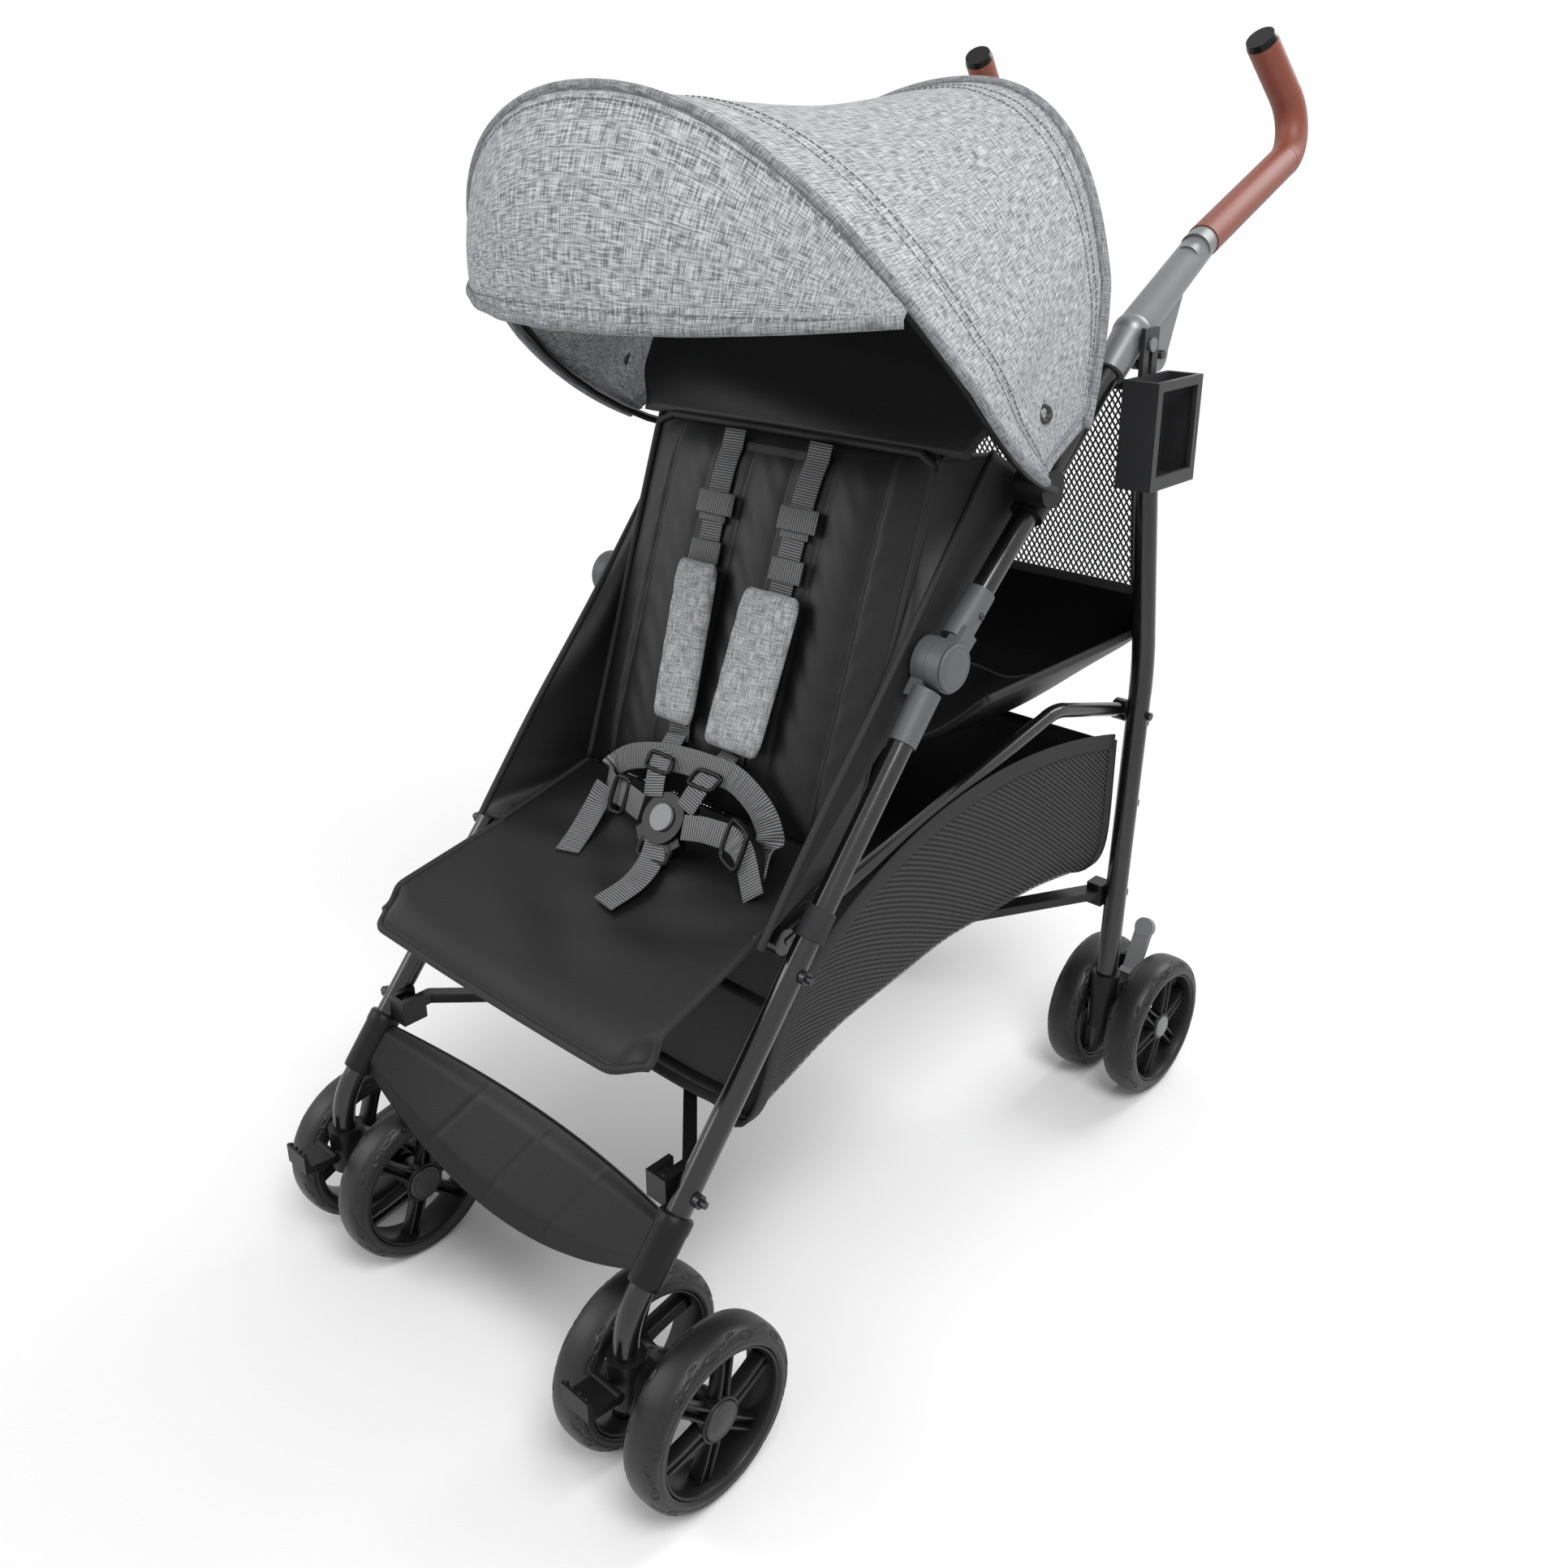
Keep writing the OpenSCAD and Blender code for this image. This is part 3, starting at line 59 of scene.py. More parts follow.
# Places shared with the solids; a pair is (y, z) in the side view
SWIVEL_X = 0.194
REAR_X = 0.188
REAR_TUBE_R = 0.011
HUB = np.array([-0.030, 0.582])
LEG_SLOPE = math.radians(49.5)
LEG_AXIS = -np.array([math.cos(LEG_SLOPE), math.sin(LEG_SLOPE)])
UPPER_SLOPE = math.radians(42)
UPPER_AXIS = np.array([math.cos(UPPER_SLOPE), math.sin(UPPER_SLOPE)])
CLAMP = np.array([0.082, 0.708])
BACK_FOOT = np.array([-0.104, 0.422])
BACK_TOP = np.array([0.006, 0.738])
KNEE = np.array([0.318, 0.488])
PIVOT = np.array([0.272, 0.794])
SEAT_W = 0.160
PAD_T = 0.018
SIDES = {-1: "left", 1: "right"}
MIRROR = np.array([-1, 1, 1])
TINY = 1e-6


# Number helpers
def unit(v):
    """Rows of v scaled to length 1."""
    v = np.asarray(v, float)
    n = np.linalg.norm(v, axis=-1, keepdims=True)
    return v / np.where(n < TINY**2, 1, n)


def mix(a, b, t):
    """a at t 0, b at t 1."""
    return np.asarray(a) + (np.asarray(b) - np.asarray(a)) * t


def smooth(t):
    """3t^2 - 2t^3 on t held to 0..1."""
    t = np.clip(t, 0, 1)
    return t * t * (3 - 2 * t)


def full(s, n):
    """1 - |2s - 1|^n: 0 at both ends of 0..1, near 1 between them."""
    return 1 - np.abs(2 * s - 1) ** n


def bell(x, width):
    """exp(-(x / width)^2)."""
    return np.exp(-((x / width) ** 2))


def signed_power(x, n):
    """|x|^n with the sign of x."""
    return np.sign(x) * np.abs(x) ** n


def running(steps):
    """Sums of the steps so far, from 0."""
    return np.concatenate([[0], np.cumsum(steps)])


def along(line):
    """Distance run along a line of points."""
    return running(np.linalg.norm(np.diff(line, axis=0), axis=1))


def evenly(t, line, count):
    """Values of t at even spacing along the line that t draws."""
    run = along(line)
    return np.interp(np.linspace(0, run[-1], count), run, t)


def points_at(line, run, places):
    """Points of a line at places along its run."""
    return np.stack([np.interp(places, run, line[:, k]) for k in range(3)], -1)


def grid(u, v):
    """Two parameters spread over a grid."""
    return np.meshgrid(u, v, indexing="ij")


def ruled(a, b, t):
    """Grid of straight lines from the points a to the points b, at shares t."""
    return a[:, None] + (b - a)[:, None] * t[None, :, None]


def rim_of(p):
    """Rows round the edge of a grid."""
    return np.concatenate([p[:-1, 0], p[-1, :-1], p[::-1, -1][:-1], p[0, ::-1][:-1]])


def curve(points, steps):
    """Smooth line through points (Catmull-Rom), steps points per stretch."""
    p = np.asarray(points, float)
    p = np.concatenate([2 * p[:1] - p[1:2], p, 2 * p[-1:] - p[-2:-1]])
    out = []
    for i in range(1, len(p) - 2):
        t = np.linspace(0, 1, steps, endpoint=i == len(p) - 3)[:, None]
        a, b, c, d = p[i - 1 : i + 3]
        out.append(
            0.5 * (2 * b + (c - a) * t + (2 * a - 5 * b + 4 * c - d) * t**2 + (3 * b - 3 * c + d - a) * t**3)
        )
    return np.concatenate(out)


def bend_line(line, t):
    """Quadratic curve with three side points as its controls."""
    t = np.asarray(t)[..., None]
    return (1 - t) ** 2 * line[0] + 2 * t * (1 - t) * line[1] + t**2 * line[2]


# Mesh helpers
def add_mesh(name, verts, faces, uv=None, rounded=True):
    """Object at the origin from vertex rows and face lists; uv is one (u, v) row per vertex."""
    mesh = bpy.data.meshes.new(name)
    mesh.from_pydata(np.asarray(verts, float).tolist(), [], faces)
    if uv is not None:
        layer = mesh.uv_layers.new(name="UVMap")
        corner = np.zeros(len(mesh.loops), int)
        mesh.loops.foreach_get("vertex_index", corner)
        layer.data.foreach_set("uv", uv[corner].astype(np.float32).ravel())
    mesh.polygons.foreach_set("use_smooth", [rounded] * len(mesh.polygons))
    mesh.update()
    obj = bpy.data.objects.new(name, mesh)
    bpy.context.scene.collection.objects.link(obj)
    return obj


def solid_grid(name, face, back):
    """Closed solid between two grids of the same size, joined round the rim. UVs are the mean arc lengths
    along both directions of the face, in metres."""
    m, n = face.shape[:2]
    du = np.linalg.norm(np.diff(face, axis=0), axis=2).mean(1)
    dv = np.linalg.norm(np.diff(face, axis=1), axis=2).mean(0)
    uv = np.stack(grid(running(du), running(dv)), -1).reshape(-1, 2)
    at = np.arange(m * n).reshape(m, n)
    front = np.stack([at[:-1, :-1], at[1:, :-1], at[1:, 1:], at[:-1, 1:]], -1).reshape(-1, 4)
    behind = front[:, [0, 3, 2, 1]] + m * n
    rim = rim_of(at)
    ahead = np.roll(rim, -1)
    wall = np.stack([rim, rim + m * n, ahead + m * n, ahead], -1)
    verts = np.concatenate([face.reshape(-1, 3), back.reshape(-1, 3)])
    faces = np.concatenate([front, behind, wall]).tolist()
    return add_mesh(name, verts, faces, np.concatenate([uv, uv]))


def sheet_mesh(name, p, thick):
    """Closed sheet: the grid p and the same grid moved by -thick along its normals, du x dv."""
    normals = unit(np.cross(np.gradient(p, axis=0), np.gradient(p, axis=1)))
    return solid_grid(name, p, p - thick * normals)


def tube_faces(at, rows):
    """Quads between neighbouring rings of vertex numbers, each ring closed on itself."""
    side = np.roll(at, -1, 1)
    quads = np.stack([at, side, np.roll(side, -1, 0), np.roll(at, -1, 0)], -1)
    return quads[:rows].reshape(-1, 4).tolist()


STEEP = 0.95


def carried(t):
    """Cross direction along a path with tangents t, carried without twist."""
    ref = np.array([0, 1.0, 0]) if abs(t[0, 2]) > STEEP else np.array([0, 0, 1.0])
    out = [unit(ref - (ref @ t[0]) * t[0])]
    for tangent in t[1:]:
        last = out[-1]
        out.append(unit(last - (last @ tangent) * tangent))
    return np.array(out)


def sweep(name, path, ring, closed=False, across=None):
    """Section ring (rows of two offsets) carried along a path; across fixes the first offset's direction."""
    t = unit(np.gradient(path, axis=0))
    if across is None:
        n = carried(t)
    else:
        across = np.asarray(across, float)
        n = unit(across - (t @ across)[:, None] * t)
    b = np.cross(t, n)
    verts = path[:, None] + ring[:, :1] * n[:, None] + ring[:, 1:] * b[:, None]
    at = np.arange(len(path) * len(ring)).reshape(len(path), len(ring))
    faces = tube_faces(at, len(path) if closed else len(path) - 1)
    if not closed:
        faces += [at[0, ::-1].tolist(), at[-1].tolist()]
    uv = np.stack(grid(along(path), along(ring)), -1)[..., ::-1]
    return add_mesh(name, verts.reshape(-1, 3), faces, uv.reshape(-1, 2))


def circle_ring(r, k=12):
    """k points of a circle of radius r."""
    a = np.arange(k) * 2 * math.pi / k
    return np.stack([r * np.cos(a), r * np.sin(a)], -1)


def band_ring(w, t, k=5):
    """Flat section, w wide and t thick, with rounded edges of k points."""
    a = np.linspace(-math.pi / 2, math.pi / 2, k)
    right = np.stack([w / 2 - t / 2 + t / 2 * np.cos(a), t / 2 * np.sin(a)], -1)
    return np.concatenate([right, -right])


LATHE_START = (0.3, 0.5, 0.81)


def lathe(name, profile, centre, axis, k=48):
    """Profile rows (radius, distance along axis) turned about an axis through centre; a profile that ends
    where it starts makes a ring, and another has flat ends."""
    axis = unit(axis)
    e = unit(np.cross(axis, LATHE_START))
    a = np.arange(k) * 2 * math.pi / k
    ring = np.cos(a)[:, None] * e + np.sin(a)[:, None] * np.cross(axis, e)
    profile = np.asarray(profile, float)
    m = len(profile)
    verts = np.asarray(centre) + profile[:, None, :1] * ring[None] + profile[:, None, 1:] * axis
    at = np.arange(m * k).reshape(m, k)
    faces = tube_faces(at, m - 1)
    if not np.allclose(profile[0], profile[-1]):
        ends = ((profile[0, 0], at[0, ::-1]), (profile[-1, 0], at[-1]))
        faces += [end.tolist() for radius, end in ends if radius > TINY]
    uv = np.stack(grid(np.arange(m) / m, a), -1).reshape(-1, 2)
    return add_mesh(name, verts.reshape(-1, 3), faces, uv)


def join(name, objs):
    """One object from several meshes at the origin."""
    verts, faces, uvs, base = [], [], [], 0
    for obj in objs:
        mesh = obj.data
        place = np.zeros(len(mesh.vertices) * 3)
        mesh.vertices.foreach_get("co", place)
        verts.append(place.reshape(-1, 3))
        corner = np.zeros(len(mesh.loops), int)
        mesh.loops.foreach_get("vertex_index", corner)
        start = np.zeros(len(mesh.polygons), int)
        mesh.polygons.foreach_get("loop_start", start)
        faces += [face.tolist() for face in np.split(corner + base, start[1:])]
        flat = np.zeros(len(mesh.loops) * 2)
        mesh.uv_layers[0].data.foreach_get("uv", flat)
        uv = np.zeros((len(mesh.vertices), 2))
        uv[corner] = flat.reshape(-1, 2)
        uvs.append(uv)
        base += len(mesh.vertices)
        bpy.data.objects.remove(obj)
        bpy.data.meshes.remove(mesh)
    return add_mesh(name, np.concatenate(verts), faces, np.concatenate(uvs))


# Material helpers
GRAIN_DEPTH = 0.001
YARN_DEPTH = 0.0008
WEAVE_DEPTH = 0.0005
RIB_DEPTH = 0.0006
YARN_FINE = 950
YARN_LONG = 75
CLOTH_PITCH = 0.0012
RIB_PITCH = 0.0024
WAVE_PER_SCALE = 20 / (2 * math.pi)
NET_SKEW = 0.6
MATS = {}


def set_inputs(shader, values):
    """Sets inputs, by name or number, to values, or links outputs to them."""
    for key, value in values.items():
        if isinstance(value, bpy.types.NodeSocket):
            shader.id_data.links.new(value, shader.inputs[key])
        else:
            shader.inputs[key].default_value = value


def add_node(tree, kind, inputs=(), **settings):
    """New node of a kind with its settings and inputs."""
    made = tree.nodes.new(f"ShaderNode{kind}")
    for key, value in settings.items():
        setattr(made, key, value)
    set_inputs(made, dict(inputs))
    return made


def maths(tree, operation, *terms):
    """Output of a maths node on numbers and other outputs."""
    return add_node(tree, "Math", enumerate(terms), operation=operation).outputs[0]


def coords(tree, kind):
    """Texture coordinates of a kind."""
    return add_node(tree, "TexCoord").outputs[kind]


def new_mat(name, color, rough, specular):
    """Node material with its shader, kept under its name."""
    mat = MATS[name] = bpy.data.materials.new(name)
    mat.use_nodes = True
    bsdf = mat.node_tree.nodes["Principled BSDF"]
    set_inputs(bsdf, {"Base Color": (*color, 1), "Roughness": rough, "Specular IOR Level": specular})
    return mat, mat.node_tree, bsdf


def add_bump(tree, bsdf, height, strength, depth):
    """Bump on the shader from a height."""
    bump = add_node(tree, "Bump", {"Height": height, "Strength": strength, "Distance": depth})
    set_inputs(bsdf, {"Normal": bump.outputs["Normal"]})


def two_tone(tree, bsdf, value, dark, light, low=0.0, high=1.0):
    """Base colour from dark to light as the value goes from low to high."""
    ramp = add_node(tree, "ValToRGB", {"Fac": value})
    for stop, place, color in zip(ramp.color_ramp.elements, (low, high), (dark, light)):
        stop.position = place
        stop.color = (*color, 1)
    set_inputs(bsdf, {"Base Color": ramp.outputs["Color"]})


def noise(tree, place, scale, detail):
    """Noise at a place."""
    return add_node(tree, "TexNoise", {"Vector": place, "Scale": scale, "Detail": detail}).outputs["Fac"]


def cloth_noise(tree, scale_u, scale_v, detail):
    """Noise over the cloth's own directions, drawn out along the one with the smaller scale."""
    mapping = add_node(tree, "Mapping", {"Vector": coords(tree, "UV"), "Scale": (scale_u, scale_v, 1)})
    return noise(tree, mapping.outputs["Vector"], 1, detail)


def plain(name, color, rough, metallic=0.0, grain=0.0, scale=900, specular=0.5, coat=0.0):
    """One colour, with a fine noise bump of strength grain."""
    mat, tree, bsdf = new_mat(name, color, rough, specular)
    set_inputs(bsdf, {"Metallic": metallic, "Coat Weight": coat})
    if grain > 0:
        add_bump(tree, bsdf, noise(tree, coords(tree, "Object"), scale, 3), grain, GRAIN_DEPTH)
    return mat


def heather(name, dark, light, strength=0.35):
    """Mean of two crossed thread noises, mixed between a dark and a light yarn, with the same as bump."""
    mat, tree, bsdf = new_mat(name, dark, 0.9, 0.2)
    weft = cloth_noise(tree, YARN_FINE, YARN_LONG, 2)
    warp = cloth_noise(tree, YARN_LONG, YARN_FINE, 2)
    mean = maths(tree, "MULTIPLY", maths(tree, "ADD", weft, warp), 0.5)
    two_tone(tree, bsdf, mean, dark, light, 0.40, 0.60)
    add_bump(tree, bsdf, mean, strength, YARN_DEPTH)
    return mat


def weave(name, color, rough, strength=0.3, specular=0.3):
    """Close weave: one colour with noise of the cloth's pitch as bump."""
    mat, tree, bsdf = new_mat(name, color, rough, specular)
    add_bump(tree, bsdf, cloth_noise(tree, 1 / CLOTH_PITCH, 1 / CLOTH_PITCH, 1), strength, WEAVE_DEPTH)
    return mat


def ribbed(name, dark, light):
    """Webbing: bands across the run of the strap, in colour and bump."""
    mat, tree, bsdf = new_mat(name, dark, 0.85, 0.2)
    inputs = {"Vector": coords(tree, "UV"), "Scale": 1 / (RIB_PITCH * WAVE_PER_SCALE), "Distortion": 0.4}
    wave = add_node(tree, "TexWave", inputs, bands_direction="Y").outputs["Fac"]
    two_tone(tree, bsdf, wave, dark, light)
    add_bump(tree, bsdf, wave, 0.6, RIB_DEPTH)
    return mat


def netting(name, color, pitch, cord):
    """Net: |sin| waves along two skewed directions of the cloth; where both are above cord there is a hole,
    through the alpha."""
    mat, tree, bsdf = new_mat(name, color, 0.7, 0.5)
    split = add_node(tree, "SeparateXYZ", {"Vector": coords(tree, "UV")})
    waves = []
    for skew in (NET_SKEW, -NET_SKEW):
        place = maths(tree, "MULTIPLY_ADD", split.outputs["Y"], skew, split.outputs["X"])
        sine = maths(tree, "SINE", maths(tree, "MULTIPLY", place, math.pi / pitch))
        waves.append(maths(tree, "ABSOLUTE", sine))
    set_inputs(bsdf, {"Alpha": maths(tree, "LESS_THAN", maths(tree, "MINIMUM", *waves), cord)})
    return mat


# Finishes, most of them named after the record's slots
plain("tube_black", (0.005, 0.005, 0.0055), 0.22, grain=0.04, coat=0.2)
plain("bracket_black", (0.006, 0.006, 0.0065), 0.34, grain=0.05, specular=0.35)
plain("bracket_silver", (0.20, 0.205, 0.21), 0.36, metallic=0.45, grain=0.06, scale=1200)
plain("grip_leather", (0.205, 0.052, 0.031), 0.46, grain=0.2, specular=0.4)
HUB_GREY = plain("hub_grey", (0.085, 0.088, 0.092), 0.5, grain=0.12, scale=1200)
GLOSS_BLACK = plain("gloss_black", (0.005, 0.005, 0.0055), 0.3, grain=0.02, specular=0.2)
STEEL = plain("steel", (0.05, 0.05, 0.053), 0.32, metallic=0.8)
TYRE = plain("tyre", (0.008, 0.008, 0.0085), 0.42, grain=0.12, scale=700, specular=0.38)
RIM = plain("rim_black", (0.006, 0.006, 0.0065), 0.40, grain=0.08, specular=0.32)
PLASTIC = plain("plastic_black", (0.005, 0.005, 0.0055), 0.40, grain=0.06, specular=0.22)
GREY = plain("plastic_grey", (0.2, 0.203, 0.207), 0.5, grain=0.08)
DARK_GREY = plain("plastic_dark_grey", (0.022, 0.0225, 0.024), 0.42, grain=0.08, specular=0.4)
CANOPY = heather("canopy_fabric", (0.13, 0.134, 0.142), (0.53, 0.54, 0.56))
CANOPY_EDGE = heather("canopy_edge", (0.11, 0.113, 0.12), (0.33, 0.335, 0.35))
PAD_CLOTH = heather("pad_fabric", (0.16, 0.163, 0.168), (0.47, 0.475, 0.48), strength=0.5)
WEB = ribbed("webbing", (0.035, 0.035, 0.037), (0.24, 0.242, 0.246))
SEAT = weave("seat_fabric", (0.005, 0.005, 0.0055), 0.47, strength=0.2, specular=0.32)
# Piping: black cloth, its colour lifted a little above the seat cloth's black as a painted highlight on the
# piped edges
PIPING = weave("piping", (0.014, 0.014, 0.015), 0.6)
NET = netting("mesh", (0.016, 0.016, 0.017), pitch=0.0062, cord=0.40)
BASKET_NET = netting("basket_mesh", (0.030, 0.030, 0.032), pitch=0.0050, cord=0.50)
BINDING = weave("binding", (0.020, 0.020, 0.0215), 0.7)

MATS.update(bow_black=PLASTIC, mesh=BASKET_NET)


def dress(obj, mat):
    """One material on the piece."""
    obj.data.materials.clear()
    obj.data.materials.append(mat)


def paint(obj, mat):
    """One material on the piece, which it returns."""
    dress(obj, mat)
    return obj


slots = {s["node"]: s["material_slot"] for s in frame["record"]["subparts"]}
for name, obj in nodes.items():
    dress(obj, MATS[slots[name]])


# Canopy
CANOPY_W = 0.260
BOW_FOOT = 0.232
FRONT_BOW = np.array([CLAMP, [-0.099, 0.760], [-0.207, 1.007]])
REAR_BOW = np.array([CLAMP, [0.094, 0.865], [0.233, 1.021]])
FRONT_SHARE = 0.5
REAR_SHARE = 1.05
REACH_POWER = 0.96
COVER_LOW_SHARE = 0.05
COVER_T = 0.0016
COVER_SAG = 0.016
COVER_FOLD = 0.0020
CORNER_TUG = 0.0045
SEAM_RIDGE = 0.0022
SEAM_SHARE = 0.155
EDGE_OUT = 0.001
REAR_EDGE_R = 0.0045
REAR_EDGE_BACK = 0.002
FRONT_EDGE_R = 0.0038
FRONT_EDGE_AHEAD = 0.001
HEM_R = 0.0022
STITCH_LENGTH = 0.0042
STITCH_GAP = 0.0020
STITCH_R = 0.0005
STITCH_LIFT = 0.0006
STITCH_ROWS = (9, 11, 55, 57)
EYELET_ROWS = (9, -10)
EYELET_COLUMN = 24
EYELET = [
    (0.0042, -0.001), (0.0042, 0.0012), (0.0056, 0.0018), (0.0076, 0.0014), (0.0082, 0.0003),
    (0.0082, -0.001),
]
VISOR_LOW_SHARE = 0.274
VISOR_T = 0.0018
VISOR_FRONT_Y = -0.236
VISOR_SIDE_AHEAD = 0.012
VISOR_SIDE_OUT = 0.004
VISOR_HEM_Z = 0.850
VISOR_END_RISE = 0.010
VISOR_OUT = 0.0029
VISOR_SWELL = 0.012
VISOR_FOLD = 0.0016
VISOR_HEM_R = 0.0046
VISOR_HEM_SHIFT = np.array([0, 0.001, -0.001])
VISOR_STITCH_LIFT = 0.0008
VISOR_STITCH_ROWS = (3, 38)


def bow_points(line, share, t):
    """Cover over a bow at t of 0..1 from the left foot: angle a = 90 w^(1/share) degrees, w = 1 - |2t - 1|,
    side point at rise sin(a)^share along the line, x = reach |cos a|^0.96."""
    angle = math.pi / 2 * np.minimum(2 * t, 2 - 2 * t) ** (1 / share)
    rise = np.sin(angle) ** share
    p = bend_line(line, rise)
    reach = mix(BOW_FOOT, CANOPY_W, np.minimum(1, 2 * rise)) * np.abs(np.cos(angle)) ** REACH_POWER
    return np.stack([np.sign(t - 0.5) * reach, p[..., 0], p[..., 1]], -1)


def from_clamps(p):
    """Directions from the middle between the clamps."""
    return unit(p - np.array([0, *CLAMP]))


def drawn_in(p, run):
    """Points moved by run towards the middle between the clamps."""
    return p - np.asarray(run)[..., None] * from_clamps(p)


def even_shares(low, count):
    """Shares round the front bow at even spacing along it."""
    t = np.linspace(low, 1 - low, 1201)
    return evenly(t, bow_points(FRONT_BOW, FRONT_SHARE, t), count)


def stitches(line):
    """Row of stitches along a line."""
    run = along(line)
    parts = []
    for start in np.arange(STITCH_GAP, run[-1] - STITCH_LENGTH, STITCH_LENGTH + STITCH_GAP):
        path = points_at(line, run, np.linspace(start, start + STITCH_LENGTH, 3))
        parts.append(sweep("stitch", path, circle_ring(STITCH_R, 4)))
    return join("stitch_row", parts)


def make_canopy():
    """Cover: lines between the bows, drawn in by a sag, with light folds running off both bows, a tug towards
    each lower corner, piped edges, stitched bands beside them and an eyelet at each corner."""
    t = even_shares(COVER_LOW_SHARE, 161)
    v = np.linspace(0, 1, 61)
    front = bow_points(FRONT_BOW, FRONT_SHARE, t)
    rear = bow_points(REAR_BOW, REAR_SHARE, t)
    arc = np.linspace(0, 1, len(t))[:, None]
    belly = full(v, 2)[None]
    fold = np.sin(arc * 44 + 3 * np.sin(arc * 9) + 2.2 * v) * (0.45 + 0.55 * np.sin(v * 5 + arc * 7))
    tug = bell(np.abs(arc - 0.5) - 0.43 + 0.05 * v, 0.022)
    sag = COVER_SAG * full(t, 2)[:, None] + COVER_FOLD * fold + CORNER_TUG * tug
    p = drawn_in(ruled(front, rear, v), sag * belly + SEAM_RIDGE * bell(v - SEAM_SHARE, 0.010)[None])
    out = from_clamps(p)
    cover = paint(sheet_mesh("canopy_cover_cloth", p, COVER_T), CANOPY)
    rear_line = drawn_in(rear, -EDGE_OUT) + [0, REAR_EDGE_BACK, 0]
    front_line = drawn_in(front, -EDGE_OUT) - [0, FRONT_EDGE_AHEAD, 0]
    trim = [
        sweep("rear_piping", rear_line, circle_ring(REAR_EDGE_R, 10)),
        sweep("front_piping", front_line, circle_ring(FRONT_EDGE_R, 10)),
    ]
    trim += [sweep("low_hem", p[row], circle_ring(HEM_R, 8)) for row in (2, -3)]
    trim += [stitches(p[4:-4, row] + STITCH_LIFT * out[4:-4, row]) for row in STITCH_ROWS]
    edge = paint(join("canopy_piping", trim), CANOPY_EDGE)
    at = EYELET_COLUMN
    rings = [lathe("eyelet", EYELET, p[row, at], out[row, at], 32) for row in EYELET_ROWS]
    return cover, edge, paint(join("canopy_eyelets", rings), STEEL)


def make_visor():
    """Visor: from a hem, curved forward in plan and rising a little to its ends, up to the front bow, with a
    soft swell, shallow upright folds, a rolled hem and two rows of stitches."""
    t = even_shares(VISOR_LOW_SHARE, 121)
    top = bow_points(FRONT_BOW, FRONT_SHARE, t)
    corner = top[-1]
    s = np.linspace(-1, 1, len(t))
    hem_y = mix(VISOR_FRONT_Y, corner[1] - VISOR_SIDE_AHEAD, s * s)
    hem_z = VISOR_HEM_Z + VISOR_END_RISE * s * s
    hem = np.stack([s * (corner[0] + VISOR_SIDE_OUT), hem_y, hem_z], -1)
    v = np.linspace(0, 1, 41)
    p = ruled(hem, top, v)
    swell = np.sin(np.pi * v)[None]
    folds = np.sin(s * 23)[:, None] * (1 - v)[None] ** 2 + 0.6 * np.sin(s * 9 + 1)[:, None] * swell
    p[..., 1] += (VISOR_FOLD * folds - VISOR_SWELL * swell) * (1 - s * s)[:, None] - VISOR_OUT
    visor = paint(sheet_mesh("canopy_visor_cloth", p, VISOR_T), CANOPY)
    trim = [sweep("rolled_hem", p[:, 0] + VISOR_HEM_SHIFT, circle_ring(VISOR_HEM_R, 10))]
    trim += [stitches(p[3:-3, row] - [0, VISOR_STITCH_LIFT, 0]) for row in VISOR_STITCH_ROWS]
    return visor, paint(join("visor_hem", trim), CANOPY_EDGE)


cover, cover_edge, eyelets = make_canopy()
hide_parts("canopy_cover")
for piece in (cover, cover_edge, eyelets):
    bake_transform(piece)
visor, visor_hem = make_visor()
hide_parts("canopy_visor")
for piece in (visor, visor_hem):
    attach(piece, "canopy_front")


# Front seat
BACK_RUN = BACK_TOP - BACK_FOOT
BACK_DIR = unit(BACK_RUN)
BACK_NORMAL = np.array([-BACK_DIR[1], BACK_DIR[0]])
UP_BACK = (0, *BACK_DIR)
CHANNELS = 5
CHANNEL_HALF = 0.118
SEAM_X = 0.122
SEAM_W = 0.004
SEAM_EASE = 0.006
SEAM_PULL = 0.0004
LINING_BEHIND = 0.003
BACK_PIPE_R = 0.0034
BACK_PIPE_LIFT = 0.002
BACK_PIPE_TOP_LIFT = 0.003
BACK_PIPE_END = 0.975
WELT_HALF = 0.036
WELT_SHARE = 0.945
WELT_LIFT = 0.0004
WELT_W = 0.009
WELT_T = 0.0016
BASE_LINE = np.array([[-0.348, 0.350], [-0.190, 0.368], [-0.1045, 0.4216]])
BASE_FRONT_HALF = 0.170
BASE_FRONT_BOW = 0.006
BASE_FRONT_RISE = 0.010
BASE_SIDE_RISE = 0.052
BASE_SLACK = 0.0019
BASE_ROLL_SHARE = 0.14
BASE_ROLL_DROP = 0.010
BASE_CORNER_SHARE = 0.82
BASE_CORNER = 0.020
BASE_EDGE_T = 0.004
BASE_FILL_T = 0.008
BASE_PIPE_R = 0.0036
BASE_PIPE_DROP = 0.002
WING_X = 0.1768
WING_TURN = 0.66
WING_GAP = 0.001
WING_T = 0.0016
WING_PIPE_R = 0.0032
WING_RIPPLE = 0.0016
WING_HANG = 0.0030
LINING_T = 0.0012
LINING_RIPPLE = 0.0004
LINING_ROWS = 80
WING_FRONT = [(0.057, 0.737), (-0.066, 0.585), (-0.151, 0.487), (-0.205, 0.420), (-0.222, 0.398)]
WING_BEHIND = [(0.112, 0.706), (0.026, 0.606), (-0.076, 0.522), (-0.168, 0.446), (-0.222, 0.398)]
HEAD_TOP = np.array([0.074, 0.872])
HEAD_GAP = 0.0004
HEAD_LOW_HALF = 0.186
HEAD_HALF = 0.205
HEAD_SPREAD_SHARE = 0.3
HEAD_BOW = 0.014
HEAD_RIPPLE = 0.002
HEAD_T = 0.0025


